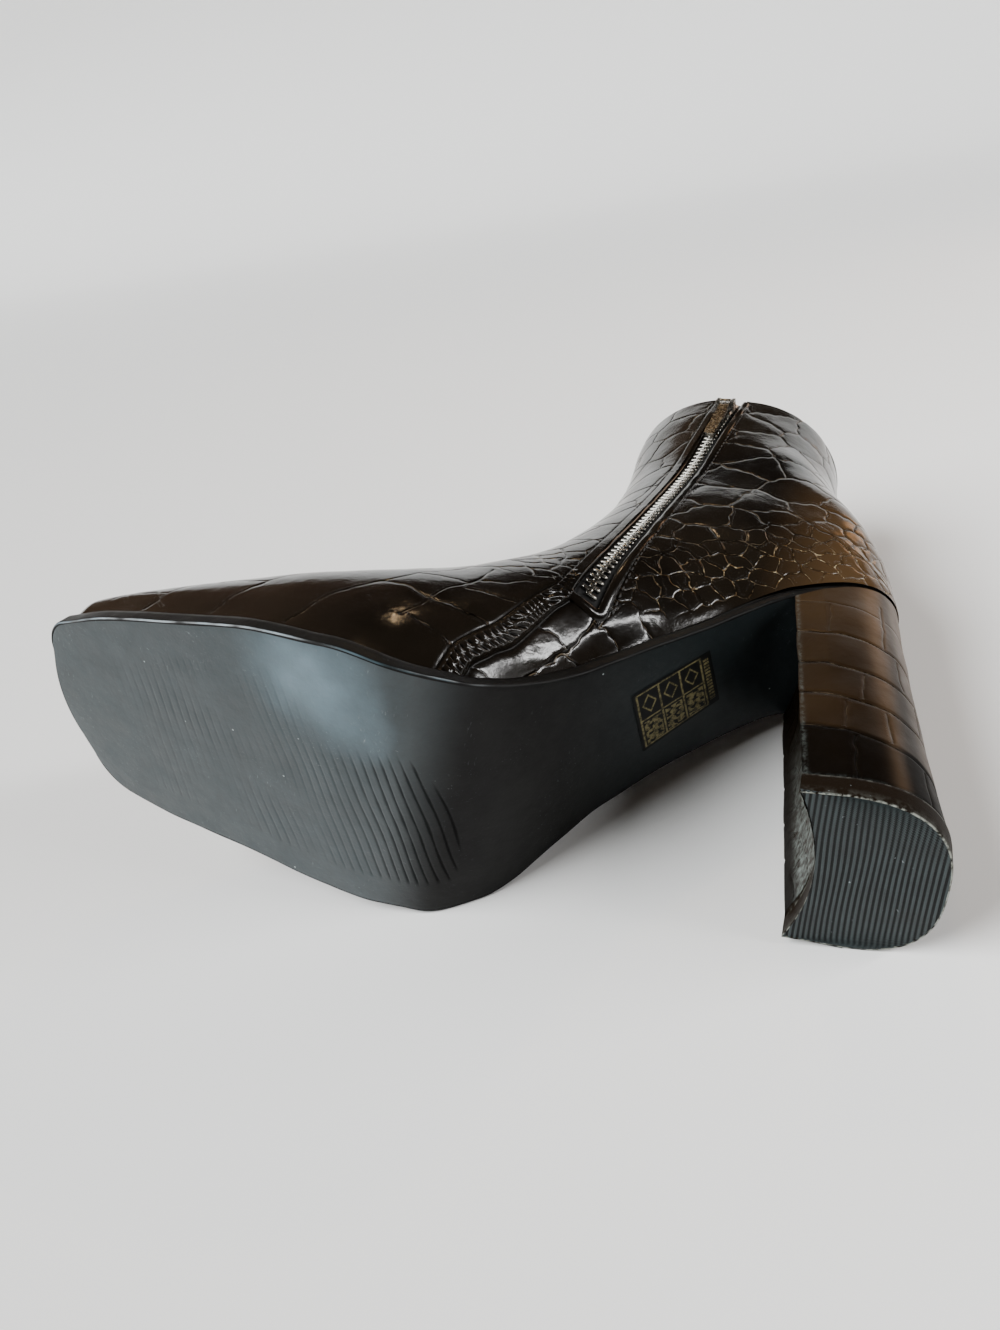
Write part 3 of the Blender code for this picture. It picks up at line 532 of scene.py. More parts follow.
def heel_grid(levels):
    """Points of the heel block at each share of its height (rows), and their plan length (columns).
    Each is on the straight line between the two end rings, moved forward by the waist's parabola."""
    foot_x, foot_y, length = heel_ring(HEEL_FOOT)
    top_x, top_y, _ = heel_ring(HEEL_TOP)
    joint_x, top_z = bed(top_x, -GAP)
    share = levels[:, None]
    waist = HEEL_WAIST * 4 * share * (1 - share)
    backward = (HEEL_FOOT["breast"] - foot_x) / HEEL_FOOT["breast"]
    x = foot_x + (joint_x - foot_x) * share + waist * backward
    y = foot_y + (top_y - foot_y) * share
    z = LIFT + GAP + (top_z - LIFT - GAP) * share
    return np.stack([x, y, z], axis=-1), length


def grid_normals(points, wrap=False):
    """Unit normals of a grid (rows, columns, 3): the cross product of its two directions."""
    down = np.gradient(points, axis=0)
    if wrap:
        along = np.roll(points, -1, axis=1) - np.roll(points, 1, axis=1)
    else:
        along = np.gradient(points, axis=1)
    return unit(np.cross(down, along))


LINE_FADE = (1.3, 0.8)     # mm from a line where its depth is 0 and where it is whole


def stronger(away, deep, other, depth):
    """Add lines to a field of lines: at each point the stronger of the two stays, as the signed
    distance in mm from it and its depth of 0 to 1, which fades out away from the line."""
    depth = depth * smooth(np.abs(other), *LINE_FADE)
    return np.where(depth > deep, other, away), np.maximum(depth, deep)


# Lines round the heel: height at the inner breast edge, sag towards the back, depth.
HEEL_LINES = ((78.0, 2.0, 0.35), (62.6, 3.2, 0.9), (48.7, 4.2, 1.0), (35.6, 4.6, 1.0), (23.2, 5.2, 1.0))
# Short upright lines between two of those: mm round from the inner breast edge, low z, high z, depth.
HEEL_SPLITS = (
    (15.5, 35.6, 48.7, 0.5), (10.6, 23.2, 35.6, 0.5), (20.5, 23.2, 35.6, 0.55), (11.8, 6.3, 23.2, 0.9),
    (29.0, 6.3, 23.2, 0.7), (33.0, 35.6, 48.7, 0.7), (28.0, 48.7, 62.6, 0.6), (24.0, 62.6, 84.0, 0.5),
    (9.0, 62.6, 78.0, 0.3), (44.0, 6.3, 23.2, 0.8), (50.0, 23.2, 35.6, 0.8), (47.0, 35.6, 48.7, 0.8),
    (55.0, 48.7, 62.6, 0.8), (45.0, 62.6, 84.0, 0.8), (62.0, 6.3, 23.2, 0.8), (66.0, 23.2, 35.6, 0.8),
    (64.0, 35.6, 48.7, 0.8), (72.0, 48.7, 62.6, 0.8), (62.0, 62.6, 84.0, 0.8), (80.0, 6.3, 23.2, 0.8),
    (78.0, 35.6, 48.7, 0.8),
)
# Wrinkle lines of the breast: pitch in mm, bend in mm and seed, first across it and then up it.
BREAST_WRINKLES = ((11, 2.0, 33), (8, 2.5, 34))
# Upright bands of the inner side by mm round: a painted warm highlight, and a band of painted shade
# beside it.
SHEEN_BAND, SHADE_BAND, BAND_WIDE = 21.5, 27.0, 2.5


def leather_finish(name, dark, light, warm, smoothest, roughest, shine):
    """Cowhide embossed with crocodile scales under a clear coat: cloudy near-black that shines.

    Each line that the `away` and `deep` attributes tell of is a narrow cut, painted black at its bottom
    as shade and pale on one shoulder, which is partly rubbed finish and partly a painted highlight. Gold
    lines with glints are a painted highlight of warm light caught in the scale lines, partly rubbed
    gilding; the darkened folds and hollows, the heel's lower rows and its breast are painted shade; the
    warm brown at the counter and the heel is a painted sheen; and a scuff is where the coat has peeled.
    The hide's grain, of 0.1 mm in the real one, is drawn at 0.45 mm so that it shows.
    """
    made, tree, shader, where = finish_of(name)
    titles = ("painted_shade", "gilt_highlight", "scuff", "deep", "tan", "away")
    painted_shade, gilt_highlight, scuff, deep, tan, away = (
        node(tree, "Attribute", out="Fac", attribute_name=title) for title in titles
    )
    apart = node(tree, "Math", (away,), operation="ABSOLUTE")
    cloud = patches(tree, where, 26, 0.35, 0.68, detail=4, rough=0.6)
    drift = patches(tree, where, 60, 0.4, 0.65, 0.0, 0.6, detail=2)
    near = node(tree, "MapRange", (apart, 0.5, 0.08))
    shade = node(tree, "Math", (deep, near), operation="MULTIPLY")
    # Painted shade: the bottom of each cut is darkened.
    cut_shade = node(tree, "Math", (shade, 0.8), operation="MULTIPLY")
    # Painted highlight, with real rubbing: one shoulder of each cut is paler.
    rising, falling = (node(tree, "MapRange", (away, *ends)) for ends in ((0.0, 0.08), (0.24, 0.14)))
    shoulder = node(tree, "Math", (rising, falling), operation="MULTIPLY")
    broken = patches(tree, where, 3.2, 0.42, 0.6, 0.0, 0.6, rough=0.6)
    broken = node(tree, "Math", (deep, broken), operation="MULTIPLY")
    rubbed_and_highlight = node(tree, "Math", (shoulder, broken), operation="MULTIPLY")
    # Painted shade: folds, hollows and shaded places turn near-black.
    fold = node(tree, "MapRange", (painted_shade, 0.3, 0.95, 0.0, 0.9))
    # Painted highlight, partly rubbed gilding: gold in the scale lines where they catch warm light.
    gold = node(tree, "Math", (deep, node(tree, "MapRange", (apart, 0.16, 0.06))), operation="MULTIPLY")
    gold = node(tree, "Math", (gold, gilt_highlight), operation="MULTIPLY")
    flaked = patches(tree, where, 2.4, 0.46, 0.6, rough=0.65)
    gold = node(tree, "Math", (gold, flaked), operation="MULTIPLY")
    # Painted glints: pale gold sparkles over the gold.
    glint = painted(tree, linear("#775a38"), (patches(tree, where, 0.9, 0.5, 0.62, detail=2), "#f0dcb0"))
    drawn = node(tree, "Mapping", {"Vector": where, "Scale": (1.0, 1.0, 0.3)}, vector_type="POINT")
    peel = patches(tree, drawn, 1.1, 0.42, 0.68, detail=4, rough=0.7)
    peel = node(tree, "Math", (scuff, peel), operation="MULTIPLY")
    rough = patches(tree, where, 7, 0.3, 0.7, smoothest, roughest, detail=4, rough=0.6)
    rough = node(tree, "Math", (peel, 0.3, rough), operation="MULTIPLY_ADD")
    cut = node(tree, "MapRange", (apart, 0.34, 0.05, 0.0, -1.0))
    dark_share = node(tree, "Math", (painted_shade, shade), operation="MAXIMUM")
    connect(tree, shader, {
        # The warm brown layer is a painted sheen.
        "Base Color": painted(
            tree, linear(dark), (cloud, light), (drift, warm), (tan, "#513d28"), (cut_shade, "#040302"),
            (rubbed_and_highlight, "#84745f"), (fold, "#050403"), (gold, glint), (peel, "#6c736f"),
        ),
        "Roughness": node(tree, "Math", (painted_shade, 0.15, rough), operation="MULTIPLY_ADD"),
        "Normal": node(tree, "Bump", {
            "Height": node(tree, "Math", (deep, cut), operation="MULTIPLY"),
            "Distance": 0.12 * MM,
            "Normal": relief(tree, where, (0.45, 0.012, 3, 0.6), (5, 0.14, 3, 0.5)),
        }),
        "Specular IOR Level": node(tree, "MapRange", (dark_share, 0.4, 0.9, shine, 0.03)),
    })
    return made


COVER = leather_finish("heel_leather", "#0c0805", "#1a1109", "#2c1e0f", 0.26, 0.38, 0.12)


def make_heel_wrap():
    """Grid of levels up the block (rows, close at both ends) and places round it (columns). Each point
    moves in by the bells of its line and of the hem, and by a random wave of the height WRINKLE. The
    fields rule the sides with the lines above and the breast with wrinkle lines."""
    levels = np.concatenate([[0.0, 0.004, 0.01], np.linspace(0.015, 0.985, 190), [0.99, 0.996, 1.0]])
    base, length = heel_grid(levels)
    out = -grid_normals(base, wrap=True)
    z, round_at = base[..., 2], np.broadcast_to(length, base.shape[:2])
    girth = length[SIDE_COUNT - 1]
    on_side = round_at <= girth
    wobble = 0.5 * waves(base, 16, 31) + 0.18 * waves(base, 4, 32)
    sag = np.sin(np.clip(round_at / girth, 0, 1) * math.pi) ** 1.6

    away, deep = np.full(z.shape, 9.0), np.zeros(z.shape)
    for height, drop, depth in HEEL_LINES:
        away, deep = stronger(away, deep, z + drop * sag - height + 0.6 * wobble, depth * on_side)
    flat = z + 4.2 * sag * smooth(z, 84, 60)      # height with the lines' sag taken out
    for place, low, high, depth in HEEL_SPLITS:
        other = round_at - place - 0.7 * wobble - 0.05 * (flat - low)
        within = smooth(flat, low - 0.5, low + 0.5) * smooth(flat, high + 0.5, high - 0.5)
        away, deep = stronger(away, deep, other, depth * within * on_side)
    across = (round_at - girth) / (length[-1] - girth)
    on_breast = 0.4 * smooth(across, 0.04, 0.1) * smooth(across, 0.97, 0.9)
    for along, (pitch, bend, seed) in zip((z, base @ np.array([0.0, 1.0, 0.35])), BREAST_WRINKLES):
        other = (((along + bend * waves(base, 22, seed)) / pitch) % 1 - 0.5) * pitch
        away, deep = stronger(away, deep, other, on_breast)

    hem = bell(z, LIFT + GAP, 0.5)
    drop = LINE_DEPTH * deep * bell(away, 0, 0.5) - WRINKLE * waves(base, 12, 35) + HEM_DEPTH * hem
    points = base - out * drop[..., None]
    points[0] = base[0] - out[0] * TURN_IN
    peeled = smooth(z, 70, 15) * smooth(across, 0.06, 0.2) * smooth(across, 0.96, 0.8)
    # Painted shade: the lowest row, the lower rows and a band beside the highlight are darkened. Painted
    # sheen: warm brown towards the top and the back round, and an upright highlight band.
    low_row = on_side * smooth(flat, 24.5, 22.5)
    sheen_band, shade_band = bell(round_at, SHEEN_BAND, BAND_WIDE), bell(round_at, SHADE_BAND, BAND_WIDE)
    shaded = 0.3 + 0.12 * smooth(z, 66, 40) + 0.53 * low_row
    shaded = shaded - (0.1 + 0.25 * low_row) * sheen_band + 0.22 * shade_band
    heel_sheen = 0.3 * smooth(z, 50, 84) + 0.35 * smooth(sag, 0.3, 0.8) * (1 - 0.7 * low_row)
    heel_sheen = np.clip(heel_sheen + (0.25 + 0.25 * low_row) * sheen_band - 0.15 * shade_band, 0, 1)
    fields = {
        # The breast is painted near-black as shade.
        "painted_shade": np.where(on_side, shaded, 0.9 - 0.3 * peeled),
        "tan": heel_sheen * on_side,
        "away": away,
        "deep": deep,
        "gilt_highlight": 0.0,
        "scuff": np.where(on_side, 0.4 * bell(round_at, 0.7, 0.5) + 0.2 * hem, peeled),
    }
    surface("heel_wrap", points, COVER, fields=fields, wrap=True,
            stands_for=("heel_block",))


make_heel_wrap()

# ================================================================ top lift
# The lift is a hard rubber plate nailed under the heel. Its face has straight moulded ribs across the
# foot, and a thin worn lip runs round it. The face is a grid cut to the heel's plan, and rings make
# the rolled edge and the wall.
LIFT_PITCH = 1.26
LIFT_RIB = 0.24        # depth of the ribs
LIFT_FACE_GROW = 0.05  # how far the ribbed face reaches past the heel's plan
# Rings of the edge from the face up: height, reach past the heel's plan, share of the pale lip.
LIFT_RINGS = (
    (0.35, -0.3, 0.0), (0.06, 0.02, 0.7), (0.0, 0.12, 1.0), (0.06, 0.25, 1.0), (0.2, 0.36, 0.6),
    (0.4, 0.4, 0.1), (2.5, 0.4, 0.0), (5.2, 0.4, 0.0), (5.8, 0.35, 0.3), (6.0, 0.1, 0.1), (6.0, -2.0, 0.0),
)


def lift_finish():
    """Hard moulded rubber, ground grey on its rib tops and black between them, with a brown-black wall
    and a pale chipped lip. Grit stands out of it at 0.5 mm, coarser than the real one, so that it
    shows. The wall is marked by a ridge below 0."""
    made, tree, shader, where = finish_of("lift_rubber_worn")
    ridge, rim = (node(tree, "Attribute", out="Fac", attribute_name=title) for title in ("ridge", "rim"))
    ground = patches(tree, where, 6, 0.3, 0.7, detail=4, rough=0.6)
    ground = painted(tree, linear("#1a2223"), (ground, "#263031"))
    on_top, on_wall = (node(tree, "MapRange", (ridge, *ends)) for ends in ((0.2, 0.7), (-0.1, -0.4)))
    chips = patches(tree, where, 2.0, 0.42, 0.58, rough=0.6)
    chips = node(tree, "Math", (rim, chips), operation="MULTIPLY")
    dots = patches(tree, where, 1.1, 0.76, 0.8, 0.0, 0.5, detail=2)
    level = node(tree, "MapRange", (ridge, 0.2, 0.7, 0.12, 0.35))
    wall_level = node(tree, "MapRange", (ridge, -0.4, -0.1, 0.03, 1.0))
    connect(tree, shader, {
        "Base Color": painted(tree, linear("#111313"), (on_top, ground), (on_wall, "#17110b"),
                              (chips, "#8d9088"), (dots, "#9aa4a8")),
        "Roughness": 0.5,
        "Normal": relief(tree, where, (0.5, 0.05, 3, 0.6)),
        "Specular IOR Level": node(tree, "Math", (level, wall_level), operation="MINIMUM"),
    })
    return made


LIFT_RUBBER = lift_finish()


def make_lift_face():
    """Face of the lift: column k runs from the breast to the back at one y, and its two ends are read
    off the heel's plan. A rib is the middle half of each wave of a cosine across the foot."""
    x, y, _ = heel_ring(HEEL_FOOT, LIFT_FACE_GROW)
    y_inner, y_outer = y[:SIDE_COUNT].max(), y[:SIDE_COUNT].min()
    lines = y_outer + (y_inner - y_outer) * (0.5 + 0.5 * np.sin(np.linspace(-1, 1, 81) * math.pi / 2))
    rear = slice(SIDE_COUNT // 7, SIDE_COUNT * 6 // 7)
    order = np.argsort(y[rear])
    back = np.interp(lines, y[rear][order], x[rear][order])
    share = (lines - (y_inner + y_outer) / 2) * 2 / (y_inner - y_outer)
    breast = HEEL_FOOT["breast"] - HEEL_FOOT["hollow"] * (1 - share**2) - 0.1
    t = np.linspace(0, 1, 230)[:, None]
    px = breast + (np.minimum(back, breast - 0.2) - breast) * t
    py = np.broadcast_to(lines, px.shape)
    phase = (px + 0.12 * waves(pairs(px, py), 20, 41)) / LIFT_PITCH
    ridge = smooth(0.5 + 0.5 * np.cos(2 * math.pi * phase), 0.25, 0.75)
    inside = smooth(t, 0.0, 0.012) * smooth(t, 1.0, 0.985) * smooth(np.abs(share), 1.0, 0.985)
    points = np.stack([px, py, 0.06 + LIFT_RIB * (1 - ridge) * inside], axis=-1)
    surface("lift_tread", points, LIFT_RUBBER, fields={"ridge": ridge, "rim": 0.0},
            flip=True, stands_for=("top_lift",))


def make_lift_edge():
    """The heel's plan ring once for each row of LIFT_RINGS, at its height and reach."""
    rings = []
    for z, grow, _ in LIFT_RINGS:
        x, y, _ = heel_ring(HEEL_FOOT, grow)
        rings.append(np.stack([x, y, np.full_like(x, z)], axis=-1))
    rim = np.array(LIFT_RINGS)[:, 2:]
    surface("lift_edge", np.array(rings), LIFT_RUBBER, fields={"ridge": -0.5, "rim": rim},
            wrap=True)


make_lift_face()
make_lift_edge()

# ================================================================ upper
# The upper is glossy leather embossed with crocodile scales, lasted over the foot and closed by a
# puckered seam at the vamp. It is drawn as sections from the inner sole edge, or the back seam, over
# the ridge to the outer edge, and its creases, scale lines and pucker stand off that face.
FOOT = table(("station", "top_x", "top_z", "inner", "outer", "belly", "power", "ridge"), (
    (229.0, 229.0, 13.9, 24.5, 26.4, 0.45, 2.7, -1.5),
    (228.0, 228.6, 21.0, 24.8, 26.8, 0.45, 2.7, -1.5),
    (223.0, 223.5, 26.3, 26.4, 28.2, 0.42, 2.6, -1.0),
    (214.0, 213.0, 30.8, 28.8, 30.8, 0.38, 2.5, 0.0),
    (200.0, 199.0, 36.4, 31.8, 33.8, 0.34, 2.4, 1.5),
    (180.0, 180.0, 44.5, 35.4, 37.4, 0.30, 2.3, 3.0),
    (156.0, 161.0, 54.0, 38.4, 41.8, 0.26, 2.2, 5.0),
    (134.0, 146.0, 64.8, 37.6, 42.6, 0.26, 2.1, 6.0),
    (112.0, 132.0, 79.5, 33.4, 41.0, 0.30, 2.0, 6.0),
    (88.0, 121.5, 98.0, 29.0, 35.2, 0.34, 2.0, 5.0),
    (64.5, 116.0, 121.0, 28.0, 31.2, 0.36, 2.0, 3.0),
    (42.5, 114.5, 143.0, 28.5, 29.8, 0.38, 2.0, 1.0),
    (10.5, 115.0, 162.0, 28.6, 29.8, 0.42, 2.0, -0.5),
))
SHAFT = table(("back_x", "back_z", "top_x", "top_z", "inner", "outer", "belly", "power", "ridge"), (
    (15.0, 116.0, 115.6, 173.0, 28.8, 30.2, 0.46, 2.0, -1.0),
    (22.5, 135.0, 116.6, 183.0, 29.2, 31.0, 0.50, 2.0, -1.5),
    (30.8, 156.0, 117.8, 193.0, 29.8, 32.4, 0.52, 2.0, -2.0),
    (35.5, 180.0, 118.6, 200.0, 30.4, 34.2, 0.52, 2.0, -2.0),
    (36.5, 206.0, 119.0, 208.0, 31.0, 35.6, 0.52, 2.0, -2.0),
))
FEATHER = 0.45         # gap over the outsole at the leather's lower edge
LAST_FOOT = len(FOOT["station"]) - 1
LAST_ROW = LAST_FOOT + len(SHAFT["back_x"])
ROW_AT = np.arange(LAST_ROW + 1.0)
CORNER_EASE = 2.4      # table rows over which the lower ends' turn at the seat is eased
COUNTER_POWER, SHAFT_POWER = 2.6, 2.1
COUNTER_ROUND, SHAFT_ROUND = 28.0, 42.0
COUNTER_SWELL = 26.0   # height over the seat in which the width goes from the sole's to the section's
STEEP_ROW = 14.2       # table row from which sections lie farther apart


def back_line():
    """Side-view points of the back line, from the seat to the collar."""
    seat_x, seat_z = bed(FOOT["station"][-1], sole("thick", FOOT["station"][-1]) + FEATHER)
    return np.concatenate([[seat_x], SHAFT["back_x"]]), np.concatenate([[seat_z], SHAFT["back_z"]])


def low_end(steps):
    """Side-view points of the sections' lower ends: along the feather line, then up the back."""
    station = through(ROW_AT[: LAST_FOOT + 1], FOOT["station"], np.minimum(steps, LAST_FOOT))
    foot_x, foot_z = bed(station, sole("thick", station) + FEATHER)
    back_x, back_z = back_line()
    shaft_z = through(ROW_AT[LAST_FOOT:], back_z, np.maximum(steps, LAST_FOOT))
    on_sole = steps <= LAST_FOOT
    x = np.where(on_sole, foot_x, through(back_z, back_x, shaft_z))
    return x, np.where(on_sole, foot_z, shaft_z), station


def upper_rows(steps):
    """Each section's sizes at fractional table rows, with its lower end, and that end again where the
    path of the ends is averaged under a bell of CORNER_EASE rows."""
    names = ("top_x", "top_z", "inner", "outer", "belly", "power", "ridge")
    rows = {n: through(ROW_AT, np.concatenate([FOOT[n], SHAFT[n]]), steps) for n in names}
    rows["low_x"], rows["low_z"], rows["station"] = low_end(steps)
    fine = np.linspace(0, LAST_ROW, 901)
    reach = round(CORNER_EASE / (fine[1] - fine[0]))
    window = np.hanning(2 * reach + 1)
    for name, path in zip(("eased_x", "eased_z"), low_end(fine)):
        wide = np.pad(path, reach, mode="reflect", reflect_type="odd")
        rows[name] = np.interp(steps, fine, np.convolve(wide, window / window.sum(), mode="valid"))
    return {name: values[:, None] for name, values in rows.items()}


def upper_grid(steps, inner_columns, outer_columns):
    """The leather's face: a row for each section, inner_columns from the inner edge up to the ridge
    and outer_columns on down to the outer edge, evenly spaced by length. The side-view point goes
    from the low end to the ridge; the half width swells from the sole to the belly, then closes over
    the ridge as a superellipse, and is drawn in towards the back line."""
    row = upper_rows(steps)
    back_x, back_z = back_line()
    fine = 1 - np.cos(np.linspace(0, 1, 150) * math.pi / 2)
    share = np.concatenate([fine / 2, 1 - fine[-2::-1] / 2])[None]
    near = (1 - share) ** 4
    x = row["eased_x"] + (row["top_x"] - row["eased_x"]) * share + (row["low_x"] - row["eased_x"]) * near
    z = row["eased_z"] + (row["top_z"] - row["eased_z"]) * share + (row["low_z"] - row["eased_z"]) * near
    over = np.clip((share - row["belly"]) / (1 - row["belly"]), 0, 1)
    crown = (1 - over ** row["power"]) ** (1 / row["power"])
    swell = np.sin(np.clip(share / row["belly"], 0, 1) * math.pi / 2)
    risen = smooth(row["low_z"], back_z[0], back_z[0] + COUNTER_SWELL)
    height = np.clip((z - back_z[0]) / (back_z[-1] - back_z[0]), 0, 1)
    drawn = rounding(
        x - through(back_z, back_x, z),
        COUNTER_ROUND + (SHAFT_ROUND - COUNTER_ROUND) * height,
        COUNTER_POWER + (SHAFT_POWER - COUNTER_POWER) * height,
    )
    halves = []
    for side, title in ((1, "inner"), (-1, "outer")):
        widest = row[title]
        edge = sole(title, row["station"]) - sole("margin", row["station"])
        edge = edge + (widest - edge) * risen
        width = edge + (widest - edge) * swell - corner(x, FOOT["station"][0], title)
        y = row["ridge"] + (side * width - row["ridge"]) * crown
        y = CENTRE + (y - CENTRE) * drawn
        halves.append(np.stack([x - bow(x, np.clip(y / (side * widest), 0, 1)), y, z], axis=-1))
    line = np.concatenate([halves[0], halves[1][:, -2::-1]], axis=1)
    gone = np.cumsum(np.linalg.norm(np.diff(line, axis=1), axis=-1), axis=1)
    gone = np.pad(gone, ((0, 0), (1, 0)))
    ridge = share.shape[1] - 1
    grid = np.empty((len(steps), inner_columns + outer_columns, 3))
    for i in range(len(steps)):
        even = np.concatenate([
            np.linspace(0, gone[i, ridge], inner_columns, endpoint=False),
            np.linspace(gone[i, ridge], gone[i, -1], outer_columns),
        ])
        for k in range(3):
            grid[i, :, k] = np.interp(even, gone[i], line[i, :, k])
    return grid


def even_steps(count, steep=0.5):
    """Table rows whose sections lie evenly along the boot: the spacing is the mean of their middles'
    and their lower ends', and counts for `steep` of itself from STEEP_ROW up."""
    fine = np.linspace(0, LAST_ROW, 3401)
    row = upper_rows(fine)
    x = (row["low_x"] + row["top_x"])[:, 0] / 2
    z = (row["low_z"] + row["top_z"])[:, 0] / 2
    low = np.hypot(np.diff(row["low_x"][:, 0]), np.diff(row["low_z"][:, 0]))
    gap = 0.5 * np.hypot(np.diff(x), np.diff(z)) + 0.5 * low
    gone = np.concatenate([[0], np.cumsum(gap * np.where(fine[1:] > STEEP_ROW, steep, 1.0))])
    return np.interp(np.linspace(0, gone[-1], count), gone, fine)


def outward(face, closed=slice(0)):
    """Normals of a grid of sections, turned away from the sections' middles. The sections of the rows
    `closed` are rings, so that both their ends get the mean of the two."""
    out = grid_normals(face)
    out = out * np.sign((out * (face - face.mean(axis=1, keepdims=True))).sum(axis=-1).mean())
    mean = unit(out[closed, 0] + out[closed, -1])
    out[closed, 0], out[closed, -1] = mean, mean
    return out


# The zip's slot goes straight up the inner side as seen from the side, open at the collar.
ZIP_FOOT = np.array([95.5, 53.0])
ZIP_TOP = np.array([80.0, 204.0])
ZIP_SLOT = 8.6         # width of the slot
INNER_Y = 8.0          # y from which a point of the shaft is on the inner side
ZIP_LENGTH = float(np.linalg.norm(ZIP_TOP - ZIP_FOOT))
ZIP_UP = (ZIP_TOP - ZIP_FOOT) / ZIP_LENGTH
ZIP_FRONT = np.array([ZIP_UP[1], -ZIP_UP[0]])


def zip_place(points):
    """Along and across the zip, in the side view, of boot points."""
    side = points[..., [0, 2]] - ZIP_FOOT
    return side @ ZIP_UP, side @ ZIP_FRONT


# Creases of the inner side as side-view points (x, z), each line with its depth first: the vamp from
# the toe side back, then the waist between the puckered seam and the zip.
CREASES = (
    (1.0, ((153, 9), (151.5, 13), (150.5, 18), (146, 25), (141, 32))),
    (1.0, ((141, 32), (134, 31), (128, 30), (125, 29), (119, 29), (112.5, 29))),
    (0.2, ((140, 23), (136, 21), (132, 20))),
    (0.9, ((130, 20), (127.5, 30), (124.5, 38), (122.5, 47), (121, 54))),
    (0.9, ((128, 21), (123, 19), (117.5, 18))),
    (0.9, ((122, 39), (117, 40), (110.5, 40))),
    (0.9, ((121, 46), (115, 48.5), (108.5, 51))),
    (0.7, ((141, 32), (137, 41), (131, 50), (128, 58))),
    (0.6, ((137, 41), (130, 43), (123.5, 42))),
    (0.8, ((176, 11), (174, 18), (169, 27), (163, 36))),
    (0.8, ((163, 36), (156, 41), (148, 46), (137, 50))),
    (0.7, ((198, 13), (196, 20), (192, 27), (186, 33), (178, 38))),
    (0.7, ((190, 30), (181, 27), (170, 26))),
    (0.5, ((214, 20), (208, 23), (203, 22), (196, 21))),
    (0.5, ((212, 25), (208, 20), (204, 16))),
    (0.5, ((203, 25), (199, 20), (194, 15))),
    (1.0, ((103, 22), (100.5, 30), (96.5, 39), (92, 51), (87.5, 59), (79, 66))),
    (0.8, ((96.5, 23.5), (98, 27), (100.5, 30.5))),
    (0.8, ((96.5, 39.0), (90, 38.5), (86, 37))),
    (0.8, ((92, 50), (87, 50), (82, 47))),
    (0.8, ((84, 62), (80, 57.5), (76, 54))),
    (0.7, ((113, 14), (109, 17.5), (105, 19))),
    (0.7, ((103, 39), (99, 40.5), (96.5, 40))),
    (0.8, ((91, 50), (88, 56), (85, 60), (82, 66), (79, 69))),
)
# Lower and upper edge of the band of small round scales that runs from the waist to the back.
SCALE_BAND = table(("x", "low", "high"), (
    (10.0, 97.0, 112.0), (29.0, 92.5, 106.0), (44.0, 86.0, 98.0), (59.0, 77.0, 89.0), (75.0, 65.0, 77.0),
    (90.0, 57.0, 68.0),
))
# The vamp's puckered edge as x over height, from the sole to the zip's foot, then beside the zip.
SEAM = table(("z", "x"), (
    (5.0, 117.2), (9.0, 117.0), (16.0, 116.8), (24.0, 114.2), (31.0, 111.0), (39.0, 108.5), (47.0, 106.0),
    (55.0, 102.8), (75.0, 100.3), (120.0, 95.6), (204.0, 87.0), (215.0, 85.9),
))
SEAM_WIDE = 4.4        # width of the puckered strip
GATHER = 2.4           # mm of seam to a pucker
LINE_HALF = 0.45       # half the width of a crease or a scale line
GROOVE_DEPTH = 0.13    # of such a line, and of the soft hollow round it at the back and at the vamp
HOLLOW_DEPTH, VAMP_HOLLOW_DEPTH = 0.28, 0.08
STRIP_HIGH, PUCKER_HIGH = 0.75, 0.35
FOLD_DEPTH, BEHIND_DEPTH = 0.3, 0.35       # of the folds beside the strip, and of the leather behind it
TUCK_DEPTH = 0.9       # how far the leather is drawn in over the sole
SCALE_STRETCH = np.array([0.85, 1.0, 1.1])      # scales are longer along the boot than they are high
SCALE_TRIES = 12000    # points tried as middles of scales


def curved(line):
    """A polyline rounded through its points by a Catmull-Rom curve, with 6 steps to a piece."""
    p = np.asarray(line, float)
    p = np.concatenate([[2 * p[0] - p[1]], p, [2 * p[-1] - p[-2]]])
    t = np.linspace(0, 1, 6, endpoint=False)[:, None]
    made = [
        0.5 * (2 * b + (c - a) * t + (2 * a - 5 * b + 4 * c - d) * t**2 + (3 * b - a - 3 * c + d) * t**3)
        for a, b, c, d in zip(p, p[1:], p[2:], p[3:])
    ]
    return np.concatenate(made + [p[-2:-1]])


def crease_lines(at):
    """Signed distance from side-view points to the nearest crease, and that crease's depth. A point
    is above 0 on the right of its crease, seen along the crease upwards."""
    best, deep = np.full(at.shape[:-1], 99.0), np.zeros(at.shape[:-1])
    for depth, line in CREASES:
        path = curved(line)
        # Each crease is turned to run upwards, so that the shoulder painted pale as a highlight lies on its
        # right.
        path = path if path[-1, 1] > path[0, 1] else path[::-1]
        for a, b in zip(path, path[1:]):
            run = b - a
            t = np.clip(((at - a) @ run) / (run @ run), 0, 1)
            off = at - a - t[..., None] * run
            side = np.where(run[0] * off[..., 1] < run[1] * off[..., 0], -1.0, 1.0)
            away = np.linalg.norm(off, axis=-1)
            nearer = away < np.abs(best)
            best, deep = np.where(nearer, away * side, best), np.where(nearer, depth, deep)
    return best, deep


def scale_seeds(points, size, seed):
    """Points picked at random so that none is nearer to an earlier one than its own `size`: the first
    one left is kept, and then all those too near to it are taken out."""
    order = np.random.default_rng(seed).permutation(len(points))[:SCALE_TRIES]
    points, size = points[order], size[order]
    kept = []
    while len(points):
        kept.append(points[0])
        free = ((points - points[0]) ** 2).sum(axis=1) > size**2
        points, size = points[free], size[free]
    return np.array(kept)


